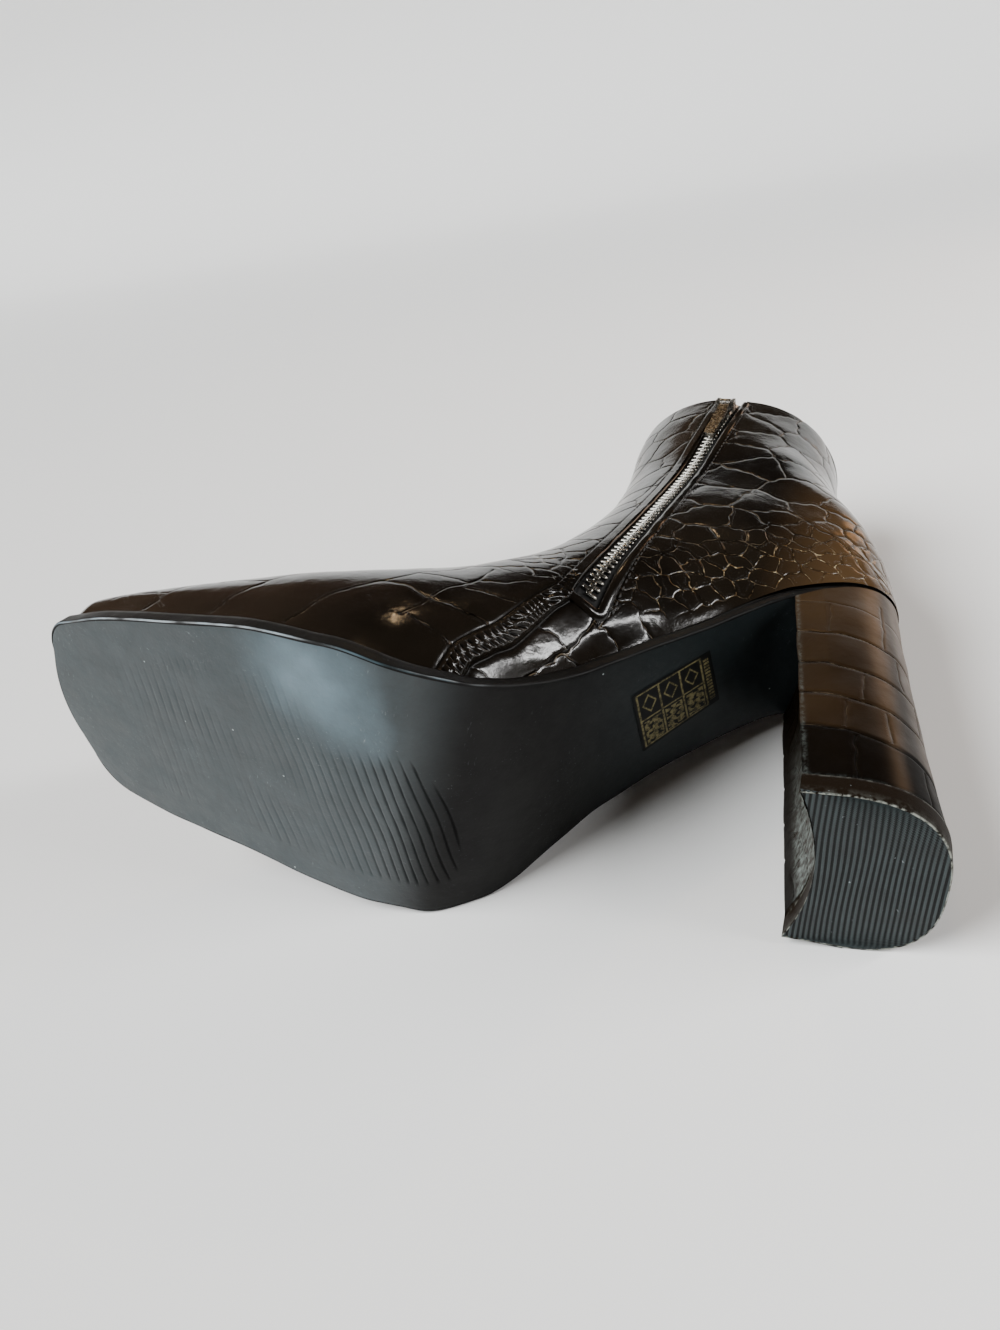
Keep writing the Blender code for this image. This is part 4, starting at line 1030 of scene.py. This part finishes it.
def cell_lines(points, seeds):
    """Signed distance of each point to the border between the cells of its two nearest seeds: half
    the difference of the two squared distances, over the distance between the seeds."""
    flat = points.reshape(-1, 3)
    away = np.empty(len(flat))
    for start in range(0, len(flat), 20000):
        part = flat[start:start + 20000]
        square = (part**2).sum(1)[:, None] - 2 * part @ seeds.T + (seeds**2).sum(1)
        two = np.argpartition(square, 1, axis=1)[:, :2]
        near = np.take_along_axis(square, two, axis=1)
        apart = np.linalg.norm(seeds[two[:, 0]] - seeds[two[:, 1]], axis=1)
        side = np.where(two[:, 0] < two[:, 1], 1.0, -1.0)
        away[start:start + 20000] = side * (near[:, 1] - near[:, 0]) / (2 * apart)
    return away.reshape(points.shape[:-1])


def emboss(skin):
    """Height of the leather over its plain face, and the fields that its finish reads.

    The listed creases rule the inner side below the instep; cells of a random pattern, small at the
    counter and larger up the shaft, rule the rest. A line is a bell-shaped groove in a wider soft
    hollow. The vamp's edge stands up as a strip between two folds, puckered by crossing cosines.
    """
    x, y, z = (skin[..., k] for k in range(3))
    inner = smooth(y, CENTRE - 4, CENTRE + 6)
    bent = [0.45 * waves(skin, 13, 51 + k) + 0.12 * waves(skin, 3.5, 53 + k) for k in (0, 1)]
    away, deep = crease_lines(np.stack([x + bent[0], z + bent[1]], axis=-1))
    deep = deep * (0.75 + 0.25 * waves(skin, 9, 55))

    # Where the listed creases rule (1) and where the random cells rule (0).
    band_low = through(SCALE_BAND["x"], SCALE_BAND["low"], x)
    band_high = through(SCALE_BAND["x"], SCALE_BAND["high"], x)
    zone = smooth(z, band_low - 3, band_low + 1.5)
    in_band = zone * smooth(z, band_high + 6, band_high - 1)
    slope = through(SEAM["z"], SEAM["x"], z + 0.5) - through(SEAM["z"], SEAM["x"], z - 0.5)
    behind = (through(SEAM["z"], SEAM["x"], z) - x) / np.sqrt(1 + slope**2)      # mm behind the seam
    hand = np.where(behind < 0, smooth(z, 66, 58), np.where(x > 78, smooth(z, 72, 64), 1.0))
    hand = np.clip(hand * (1 - zone) * inner, 0, 1)
    hand = np.maximum(hand, smooth(x, 150, 165) * inner)

    # Random cells: 4.2 mm at the counter, up to 12.2 up the shaft and 22 on the instep.
    size = 4.2 + 8.0 * smooth(z, band_high + 2, band_high + 32) + 10 * smooth(x, 112, 140)
    size = np.where(inner > 0.5, size, np.maximum(size, 7.5))
    every = (slice(None, None, 3), slice(None, None, 3))      # a third of the rows and columns
    seeds = scale_seeds(skin[every].reshape(-1, 3) * SCALE_STRETCH, size[every].ravel(), 61)
    shaken = skin + 0.35 * np.stack([waves(skin, 5, seed) for seed in (62, 63, 64)], axis=-1)
    border = cell_lines(shaken * SCALE_STRETCH, seeds)

    # Both kinds of line together: their grooves, their soft hollows, and their fields.
    by_hand = 1 - np.maximum(zone, 1 - inner)
    cells = 1 - hand
    line = np.maximum(
        deep * bell(away, 0, LINE_HALF) * by_hand,
        cells * bell(border, 0, LINE_HALF) * 0.8,
    )
    soft = np.maximum(
        deep * np.exp(-np.abs(away) / 3.0) * by_hand,
        cells * np.exp(-np.abs(border) / 1.5) * (0.5 - 0.2 * smooth(z, band_low + 8, band_low)),
    )
    away, deep = stronger(9.0, 0.0 * x, away, deep * by_hand)
    away, deep = stronger(away, deep, border, (0.85 - 0.2 * in_band) * cells)

    # The puckered strip: gathers cross it, with a fold on both sides and a hollow behind it.
    strip = smooth(behind, -0.3, 0.5) * smooth(behind, SEAM_WIDE + 0.35, SEAM_WIDE - 0.35) * inner
    on_strip = strip * smooth(z, 208, 203)
    along = z * 1.05 + 0.8 * waves(skin, 11, 71)
    gathers = np.cos(2 * math.pi * along / GATHER) * np.cos(math.pi * (behind - 1.0) / 2.2)
    puckered = smooth(z, 64, 57)
    lumps = np.abs(gathers) ** 0.8 * np.sign(gathers) * puckered
    fold = (bell(behind, -0.5, 0.55) + bell(behind, SEAM_WIDE + 0.6, 0.7)) * inner
    sunk = smooth(behind, SEAM_WIDE, SEAM_WIDE + 0.6) * smooth(behind, SEAM_WIDE + 9, SEAM_WIDE + 2) * inner
    line, soft, deep = (part * (1 - strip) for part in (line, soft, deep))

    # Slow ripples of the shaft, and the tuck over the sole.
    vamp = smooth(x, 72, 98)
    ripple = (0.2 * waves(skin, 34, 81) + 0.08 * waves(skin, 15, 82)) * (1 - 0.6 * vamp)
    above_sole = z - bed(x, 4.5)[1]
    tuck = TUCK_DEPTH * smooth(above_sole, 12.0, 0.0) * smooth(x, 64, 86)
    hollow = HOLLOW_DEPTH + (VAMP_HOLLOW_DEPTH - HOLLOW_DEPTH) * vamp
    height = on_strip * (STRIP_HIGH + PUCKER_HIGH * lumps) - FOLD_DEPTH * fold - BEHIND_DEPTH * sunk
    height = height - GROOVE_DEPTH * line - hollow * soft - tuck + ripple * smooth(above_sole, 0.0, 5.0)
    # Painted shade: the finish darkens the folds beside the strip and the hollows between its puckers.
    between = on_strip * smooth(-lumps, 0.2, 0.8) * 0.9 * puckered
    return height, {
        "painted_shade": np.maximum(np.clip(0.8 * fold, 0, 1), between),
        # Gold lines in the counter's band: a painted highlight, partly rubbed gilding.
        "gilt_highlight": 0.85 * in_band * inner * smooth(x, 90, 66),
        "away": away,
        "deep": deep,
        # Painted sheen: warm brown towards the back of the counter.
        "tan": 0.85 * smooth(x, 58, 22) * smooth(z, 165, 118) * inner,
    }


STEPS = even_steps(660)
INNER_COLUMNS, OUTER_COLUMNS = 290, 84
PIECE_ENDS = (6.6, 9.8)      # table rows at which the inner side is cut into its three pieces
CLOSED = STEPS > LAST_FOOT
SKIN = upper_grid(STEPS, INNER_COLUMNS, OUTER_COLUMNS)
SKIN_OUT = outward(SKIN, CLOSED)
LEATHER = leather_finish("crocodile", "#070605", "#14110e", "#201a13", 0.1, 0.2, 0.26)


def make_leather():
    """The face as four pieces, inner toe, inner foot, inner shaft and outer side, with the normals of
    the whole, and without the quads inside the zip's slot."""
    height, fields = emboss(SKIN)
    whole = SKIN + SKIN_OUT * height[..., None]
    out = outward(whole, CLOSED)
    along, across = zip_place(SKIN)
    cut = (np.abs(across) < ZIP_SLOT / 2) & (along > 0) & (SKIN[..., 1] > INNER_Y)
    cut = cut[:-1, :-1] & cut[1:, 1:] & cut[:-1, 1:] & cut[1:, :-1]
    toe_end, foot_end = (int(np.searchsorted(STEPS, row)) for row in PIECE_ENDS)
    inner = slice(0, INNER_COLUMNS + 1)
    for name, rows, columns, stands_for in (
        ("upper_inner_toe", slice(0, toe_end + 1), inner, ()),
        ("upper_inner_foot", slice(toe_end, foot_end + 1), inner, ("upper",)),
        ("upper_inner_shaft", slice(foot_end, None), inner, ()),
        ("upper_outer", slice(None), slice(INNER_COLUMNS, None), ()),
    ):
        part = (rows, columns)
        high, wide = whole[part].shape[:2]
        surface(
            name, whole[part], LEATHER, keep=~cut[part][: high - 1, : wide - 1],
            fields={title: field[part] for title, field in fields.items()},
            normals=out[part], flip=True, stands_for=stands_for,
        )


make_leather()

# ================================================================ zip
# The zip is a metal one, closed: woven tape with two rows of nickel teeth, sewn into the slot behind a
# folded leather lip, and the CAD's slider and pull. Each part is laid on the leather's plain face.
TAPE_SINK, TEETH_SINK = 1.05, 0.35     # depth of each under the leather's plain face
TOOTH_PITCH = 1.3      # between one tooth and the next, which is of the other row
TOOTH_START, TOOTH_FREE = 3.0, 8.0     # tape below the first tooth, and without teeth in all
TOOTH_HALF = (0.5, 0.62)     # half a tooth's size along the zip and out of it
CORD_OFF, CORD_HALF, CORD_HIGH = 2.4, 0.35, 0.35     # the cords that the teeth are clamped to
# Profile of the lip: mm away from the slot's edge and over the leather.
LIP = table(("out", "high"), (
    (-0.9, -1.9), (-0.9, -0.6), (-0.75, 0.05), (-0.35, 0.4), (0.2, 0.55), (0.9, 0.5), (1.5, 0.25),
    (1.9, -0.15),
))
LIP_CORNER = 1.6       # radius of the slot's two corners at the foot
STITCH_PITCH, STITCH_OFF = 2.5, 2.6     # between stitches, and from the slot's edge to their row
STITCH_HALF, STITCH_RADIUS = 0.85, 0.22
STITCH_HIGH, STITCH_DIP = 0.5, 0.15     # height of a stitch's middle line, and how far its ends dip


def on_skin(along, across, high=0.0):
    """Boot points at places on the zip, `high` mm over the leather's plain face: the side-view point
    is moved along the tangent plane of the nearest point of the face's grid."""
    along, across, high = np.broadcast_arrays(along, across, high)
    side = ZIP_FOOT + along[..., None] * ZIP_UP + across[..., None] * ZIP_FRONT
    grid_along, grid_across = zip_place(SKIN)
    near = (np.abs(grid_across) < 12) & (grid_along > -14) & (SKIN[..., 1] > INNER_Y)      # round the zip
    points, out = SKIN[near], SKIN_OUT[near]
    flat = side.reshape(-1, 2)
    best = np.empty(len(flat), int)
    for start in range(0, len(flat), 2000):
        part = flat[start:start + 2000, None]
        best[start:start + 2000] = ((part - points[None, :, [0, 2]]) ** 2).sum(-1).argmin(1)
    at, way = points[best], out[best]
    y = at[:, 1] - ((flat - at[:, [0, 2]]) * way[:, [0, 2]]).sum(-1) / way[:, 1]
    found = np.stack([flat[:, 0], y, flat[:, 1]], -1) + way * high.reshape(-1, 1)
    return found.reshape(*side.shape[:-1], 3)


def cloth_finish(name, code, pitch, depth):
    """Plain-woven polyester, matt, in two crossed sets of threads that lie along the piece's own UV
    map: the height is the product of |sin| along and across, one wave to a thread of `pitch` mm. The
    real threads are about 0.2 mm thick, and are drawn coarser so that they show."""
    made, tree, shader, where = finish_of(name)
    place = node(tree, "SeparateXYZ", (node(tree, "UVMap", out="UV"),)).node.outputs
    weave = 1.0
    for direction in ("X", "Y"):
        turn = node(tree, "Math", (place[direction], math.pi / pitch), operation="MULTIPLY")
        turn = node(tree, "Math", (turn,), operation="SINE")
        thread = node(tree, "Math", (turn,), operation="ABSOLUTE")
        weave = node(tree, "Math", (thread, weave), operation="MULTIPLY")
    faded = {"Color": linear(code), "Value": patches(tree, where, 8, 0.3, 0.7, 0.75, 1.2)}
    connect(tree, shader, {
        "Base Color": node(tree, "HueSaturation", faded),
        "Roughness": 0.85,
        "Normal": node(tree, "Bump", {"Height": weave, "Distance": depth * MM}),
    })
    return made


def metal_finish():
    """Nickel-plated brass, tumbled: bright grey metal whose shine varies from place to place."""
    made, tree, shader, where = finish_of("nickel")
    rough = patches(tree, where, 0.8, 0.3, 0.7, 0.16, 0.34)
    connect(tree, shader, {"Base Color": linear("#96938c"), "Metallic": 1.0, "Roughness": rough})
    return made


def thread_finish():
    """Waxed polyester thread: black and half matt, with the bumps of its twist."""
    made, tree, shader, where = finish_of("black_thread")
    twist = relief(tree, where, (0.25, 0.04, 2, 0.5))
    connect(tree, shader, {"Base Color": linear("#15110e"), "Roughness": 0.55, "Normal": twist})
    return made


TAPE = cloth_finish("zip_tape_cloth", "#0c0b0b", 0.5, 0.06)
NICKEL = metal_finish()
THREAD = thread_finish()


def make_zip_tape():
    """A flat strip in the slot, with a bell-shaped cord along each side of the chain."""
    along = np.linspace(0.4, ZIP_LENGTH, 260)[:, None]
    across = np.linspace(-ZIP_SLOT / 2 + 0.3, ZIP_SLOT / 2 - 0.3, 25)
    cord = CORD_HIGH * bell(np.abs(across), CORD_OFF, CORD_HALF)
    points = on_skin(along, across, cord - TAPE_SINK)
    surface("zip_tape", points, TAPE, uv=pairs(along, across), flip=True,
            stands_for=("zip_chain",))


def make_teeth():
    """Teeth of both rows in turn: tooth k is a rounded bar, square-sided as a superellipse, from its
    own cord past the middle line. `reach` is where its rings lie across the zip, `girth` their size."""
    count = int((ZIP_LENGTH - TOOTH_FREE) / TOOTH_PITCH)
    middle = TOOTH_START + TOOTH_PITCH * np.arange(count)
    row = np.where(np.arange(count) % 2, 1.0, -1.0)
    turn = np.linspace(0, 2 * math.pi, 10, endpoint=False)
    reach = np.array([2.3, 2.3, 1.6, 0.0, -0.5, -0.7, -0.7])
    girth = np.array([0.0, 0.8, 1.0, 1.0, 1.05, 0.8, 0.0])[:, None]
    wide, thick = (girth * np.sign(part) * np.abs(part) ** 0.7 for part in (np.cos(turn), np.sin(turn)))
    across = row[:, None, None] * reach[:, None]
    along = middle[:, None, None] + TOOTH_HALF[0] * wide
    points = on_skin(along, across, TOOTH_HALF[1] * thick - TEETH_SINK)
    points[1::2] = points[1::2, ::-1]      # the other row's bars run the other way
    surface("zip_teeth", points, NICKEL, wrap=True, flip=True, poles=True)


def lip_path():
    """Places round the slot: down the rear side's edge to the foot's middle, then round the corner and
    up the front side's, as along, across and the direction away from the slot."""
    half = ZIP_SLOT / 2
    straight = np.linspace(LIP_CORNER, ZIP_LENGTH + 1.0, 210)[1:]
    turn = np.linspace(0, math.pi / 2, 14)
    foot = np.linspace(0, half - LIP_CORNER, 12)[:-1]
    one = np.stack([
        np.concatenate([0 * foot, LIP_CORNER * (1 - np.cos(turn)), straight]),
        np.concatenate([foot, half - LIP_CORNER + LIP_CORNER * np.sin(turn), 0 * straight + half]),
        np.concatenate([0 * foot - 1, -np.cos(turn), 0 * straight]),
        np.concatenate([0 * foot, np.sin(turn), 0 * straight + 1]),
    ])
    other = one[:, :0:-1] * np.array([[1], [-1], [1], [-1]])
    return np.concatenate([other, one], axis=1)[..., None]


def make_zip_lip():
    """Folded edge of the leather round the slot: the profile LIP swept round it, a little wavy."""
    along, across, way_along, way_across = lip_path()
    wave = 1 + 0.12 * waves(pairs(along, across), 9, 91)
    points = on_skin(along + way_along * LIP["out"], across + way_across * LIP["out"], LIP["high"] * wave)
    surface("zip_lip", points, LEATHER, flip=True)


def make_stitches(name, across):
    """A row of short raised threads beside the zip: each is a spindle, as thick along its length as an
    ellipse, whose ends dip by a parabola."""
    along = np.arange(3.0, ZIP_LENGTH - 1.0, STITCH_PITCH)[:, None, None]
    step = np.linspace(-1, 1, 7)[:, None]
    turn = np.linspace(0, 2 * math.pi, 8, endpoint=False)
    fat = STITCH_RADIUS * np.sqrt(np.clip(1 - step**2, 0.0, 1))
    high = STITCH_HIGH + 1.1 * fat * np.sin(turn) - STITCH_DIP * step**2
    points = on_skin(along + STITCH_HALF * step, across + fat * np.cos(turn), high)
    surface(name, points, THREAD, wrap=True, poles=True)


make_zip_tape()
make_teeth()
make_zip_lip()
make_stitches("zip_stitches_front", ZIP_SLOT / 2 + STITCH_OFF)
make_stitches("zip_stitches_rear", -ZIP_SLOT / 2 - STITCH_OFF)
for title in ("zip_slider", "zip_pull"):
    frame["nodes"][title].data.materials[0] = NICKEL

# ================================================================ lining, collar and insole
# The lining is thin dark cloth glued to the leather's back. The leather is turned over it in a roll at
# the collar, which stops at the zip. The CAD's insole lies on the outsole under its cloth sock.
WALL = 2.1             # thickness of the leather and its lining
LINING_PITCH = 2.4     # mm that one step of the lining's grid stands for


def make_lining():
    """The leather's face on a coarser grid, moved a wall's thickness inwards."""
    face = upper_grid(even_steps(130, steep=1.0), 50, 40)
    points = face - outward(face) * WALL
    rows, columns = points.shape[:2]
    uv = LINING_PITCH * pairs(np.arange(rows)[:, None], np.arange(columns))
    cloth = cloth_finish("lining_cloth", "#1b1815", 0.7, 0.03)
    surface("lining", points, cloth, uv=uv)


def make_collar():
    """Rolled top edge: half a ring from the face over to the lining, carried along the top row."""
    top, out = SKIN[-1], SKIN_OUT[-1]
    up = unit(SKIN[-1] - SKIN[-6])
    turn = np.linspace(0, math.pi, 12)[:, None, None]
    radius = WALL / 2
    points = top - out * radius + out * radius * np.cos(turn) + up * radius * np.sin(turn)
    free = (np.abs(zip_place(top)[1]) >= ZIP_SLOT / 2) | (top[:, 1] <= INNER_Y)
    keep = np.broadcast_to(free[:-1] & free[1:], (len(turn) - 1, len(top) - 1))
    surface("collar_edge", points, LEATHER, keep=keep, flip=True)


def sock_finish():
    """Brushed cotton: matt brown-grey, mottled by fibres that are drawn 0.6 mm apart so that they
    show."""
    made, tree, shader, where = finish_of("insole_sock_cloth")
    fibre = patches(tree, where, 0.6, 0.0, 1.0, detail=4, rough=0.7)
    connect(tree, shader, {
        "Base Color": painted(tree, linear("#2a2622"), (fibre, "#4a443c")),
        "Roughness": 0.9,
        "Normal": relief(tree, where, (0.6, 0.08, 4, 0.7)),
    })
    return made


make_lining()
make_collar()
frame["nodes"]["insole"].data.materials[0] = sock_finish()

# ================================================================ label under the waist
# The label is a small black paper sticker with plain gold cells and diamonds, rubbed in places. It is
# a grid laid just off the sole's underside, and its print is a field of the grid.
LABEL_CORNERS = np.array([[81.0, 1.5], [65.0, 7.4], [78.4, -19.2], [62.0, -11.3]])
LABEL_THICK = 0.12
LABEL_LENGTH = 1.11    # its end past the cells, in the cells' length
STROKE = 0.012         # half a stroke's width, in the cells' length
MARGIN = 0.05          # from the label's edge to the frame
CELL_LINES, CELL_MIDDLES = (0.35, 0.65), (0.2, 0.5, 0.8)
DIAMOND_AT, DIAMOND_HALF = 0.27, (0.09, 0.14)
PATCH_HALF, PATCH_ENDS = 0.12, (0.54, 0.93)
BAR_PITCH, BAR_HALF = 0.06, 0.28       # the second is a share of the first
BAR_ENDS, BAR_ROW = (0.99, 1.06), (0.1, 0.9)


def label_finish():
    """Printed paper: gold ink, rubbed thin in places, on half-matt black."""
    made, tree, shader, where = finish_of("label_print")
    ink = node(tree, "Attribute", out="Fac", attribute_name="ink")
    rubbed_and_highlight = patches(tree, where, 1.2, 0.4, 0.55, 0.25, 1.0, rough=0.7)
    ink = node(tree, "Math", (ink, rubbed_and_highlight), operation="MULTIPLY")
    colour = painted(tree, linear("#050505"), (ink, "#746c4a"))
    connect(tree, shader, {"Base Color": colour, "Roughness": 0.5, "Specular IOR Level": 0.2})
    return made


def make_label():
    """u runs towards the heel and v towards the outer side, 0 to 1 over the cells; past them, up to
    LABEL_LENGTH, stands a narrow column of bars. A place is the mean of the four corners, weighted by
    u and v, and a stroke is exp(-d^4) of the distance d from it in half widths. Each cell has a
    diamond in one half and a blotched patch in the other."""
    u = np.linspace(0, LABEL_LENGTH, 134)[:, None]
    v = np.linspace(0, 1, 151)
    weights = np.stack([(1 - u) * (1 - v), u * (1 - v), (1 - u) * v, u * v], axis=-1)
    place = weights @ LABEL_CORNERS
    x, z = bed(place[..., 0], -LABEL_THICK)

    def stroke(distance):
        """1 on a line, 0 away from it."""
        return np.exp(-(distance / STROKE) ** 4)

    frame_line = np.minimum(np.minimum(u, 1 - u), np.minimum(v, 1 - v)) - MARGIN
    ink = np.maximum(stroke(frame_line), stroke(v - 0.5) * (u > MARGIN) * (u < 1 - MARGIN))
    for line in CELL_LINES:
        ink = np.maximum(ink, stroke(u - line) * (v > MARGIN) * (v < 1 - MARGIN))
    for middle in CELL_MIDDLES:
        diamond = np.abs(u - middle) / DIAMOND_HALF[0] + np.abs(v - DIAMOND_AT) / DIAMOND_HALF[1]
        ink = np.maximum(ink, stroke((diamond - 1) * DIAMOND_HALF[0]))
        patch = (np.abs(u - middle) < PATCH_HALF) * (v > PATCH_ENDS[0]) * (v < PATCH_ENDS[1])
        ink = np.maximum(ink, 0.85 * patch * (waves(pairs(17 * u, 21 * v), 1.5, 91) > -0.6))
    bars = np.abs(((v - BAR_ROW[0]) / BAR_PITCH) % 1 - 0.5) < BAR_HALF
    bars = bars * (v > BAR_ROW[0]) * (v < BAR_ROW[1]) * (u > BAR_ENDS[0]) * (u < BAR_ENDS[1])
    ink = np.maximum(ink, 0.8 * bars)
    points = np.stack([x, place[..., 1], z], axis=-1)
    surface("waist_label", points, label_finish(), fields={"ink": ink})


make_label()

# ================================================================ floor, light and camera
# The boot lies on a matt pale floor that turns up into a low wall behind it. A broad window on the
# left and a tall lamp on the right light it, with two small warm ones behind.
FLOOR_HALF, FLOOR_NEAR = 8.0, -5.0
FLOOR_DEEP, FLOOR_TURN, WALL_HIGH = 1.6, 0.6, 0.8
EYE = (30.82, 151.09, -149.01)      # camera's place, way and top, in the boot's frame
LOOK = np.array([0.2065, -0.5303, 0.8223])
TOP = np.array([0.1285, 0.8478, 0.5145])
LENS = 25.2
SHIFT = (-0.102, -0.0316)
# Lamps: name, place, what they shine at, size, power, colour, and the way that their length runs.
LAMPS = (
    ("lamp_right", (0.81, 0.01, 0.445), (0.022, -0.067, 0.055), (0.07, 0.6), 7.5, "#ffffff",
     (-0.083, -0.464, 0.388)),
    ("lamp_back", (-0.03, 0.535, 0.727), (-0.01, -0.09, 0.08), (0.1, 0.03), 0.6, "#ffd9a8", (0, 0, 1)),
    ("lamp_warm", (0.45, 0.75, 0.22), (0.08, 0.0, 0.05), (0.12, 0.3), 0.3, "#ffb46a", (0, 0, 1)),
)


def make_floor(level):
    """Flat floor, a quarter circle and a wall: y and z run along its section, from side to side."""
    turn = np.linspace(0, math.pi / 2, 25)
    y = np.concatenate([[FLOOR_NEAR], FLOOR_DEEP + FLOOR_TURN * np.sin(turn), [FLOOR_DEEP + FLOOR_TURN]])
    z = np.concatenate([[0.0], FLOOR_TURN * (1 - np.cos(turn)), [WALL_HIGH]]) + level
    sides = [np.stack([0 * y + x, y, z], axis=-1) for x in (-FLOOR_HALF, FLOOR_HALF)]
    k = np.arange(len(y) - 1)
    faces = np.stack([k, k + len(y), k + len(y) + 1, k + 1], axis=-1)
    mesh = bpy.data.meshes.new("floor")
    mesh.from_pydata(np.concatenate(sides).tolist(), [], faces.tolist())
    finish, tree, shader, _ = finish_of("pale_floor")
    connect(tree, shader, {"Base Color": linear("#f8f7f5"), "Roughness": 0.8})
    mesh.materials.append(finish)
    mesh.shade_smooth()
    made = bpy.data.objects.new("floor", mesh)
    bpy.context.collection.objects.link(made)
    made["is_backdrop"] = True


def make_lamp(name, place, aim, size, power, code, long_way):
    """A soft rectangular light at a point of the shared frame that shines at another; the second of
    its sizes runs along long_way as near as may be."""
    lamp = bpy.data.lights.new(name, "AREA")
    lamp.shape = "RECTANGLE"
    lamp.size, lamp.size_y = size
    lamp.energy = power
    lamp.color = linear(code)[:3]
    made = bpy.data.objects.new(name, lamp)
    back = (Vector(place) - Vector(aim)).normalized()
    side = Vector(long_way).cross(back).normalized()
    turn = Matrix((side, back.cross(side), back)).transposed()
    made.matrix_world = Matrix.Translation(place) @ turn.to_4x4()
    bpy.context.collection.objects.link(made)


def make_window(toward, strength, breadth, code):
    """A broad soft light that shines evenly everywhere from the direction `toward`, `breadth`
    degrees across."""
    lamp = bpy.data.lights.new("window_left", "SUN")
    lamp.energy, lamp.angle, lamp.color = strength, math.radians(breadth), linear(code)[:3]
    made = bpy.data.objects.new("window_left", lamp)
    made.rotation_euler = (-Vector(toward)).to_track_quat("-Z", "Y").to_euler()
    bpy.context.collection.objects.link(made)


def make_world(above, left, level):
    """Surroundings: dark above, warmer to the left, pale round the horizon and below it."""
    world = bpy.data.worlds.new("studio")
    world.use_nodes = True
    tree = world.node_tree
    way = node(tree, "SeparateXYZ", (node(tree, "TexCoord", out="Generated"),)).node.outputs
    to_left = node(tree, "MapRange", (way["X"], -0.15, -0.5))
    low = node(tree, "MapRange", (way["Z"], 0.12, 0.02))
    colour = painted(tree, linear(above), (to_left, left), (low, level))
    connect(tree, tree.nodes["Background"], {"Color": colour})
    bpy.context.scene.world = world


def make_camera():
    """The camera at EYE, which looks along LOOK with TOP as its upward direction."""
    lens = bpy.data.cameras.new("camera")
    lens.lens = LENS
    lens.sensor_width = 36.0
    lens.shift_x, lens.shift_y = SHIFT
    lens.clip_start = 0.01
    made = bpy.data.objects.new("camera", lens)
    look = unit(LOOK)
    right = unit(np.cross(look, TOP))
    matrix = np.eye(4)
    matrix[:3, :3] = (np.stack([right, np.cross(right, look), -look]) @ AXES).T
    matrix[:3, 3] = to_row(EYE)
    made.matrix_world = Matrix(matrix.tolist())
    bpy.context.collection.objects.link(made)
    bpy.context.scene.camera = made


make_floor(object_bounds()[0].z)
make_world("#261d15", "#7d6350", "#c9ccce")
make_window((-0.66, -0.38, 0.64), 6.5, 45.0, "#f4f8fa")
for lamp_row in LAMPS:
    make_lamp(*lamp_row)
make_camera()
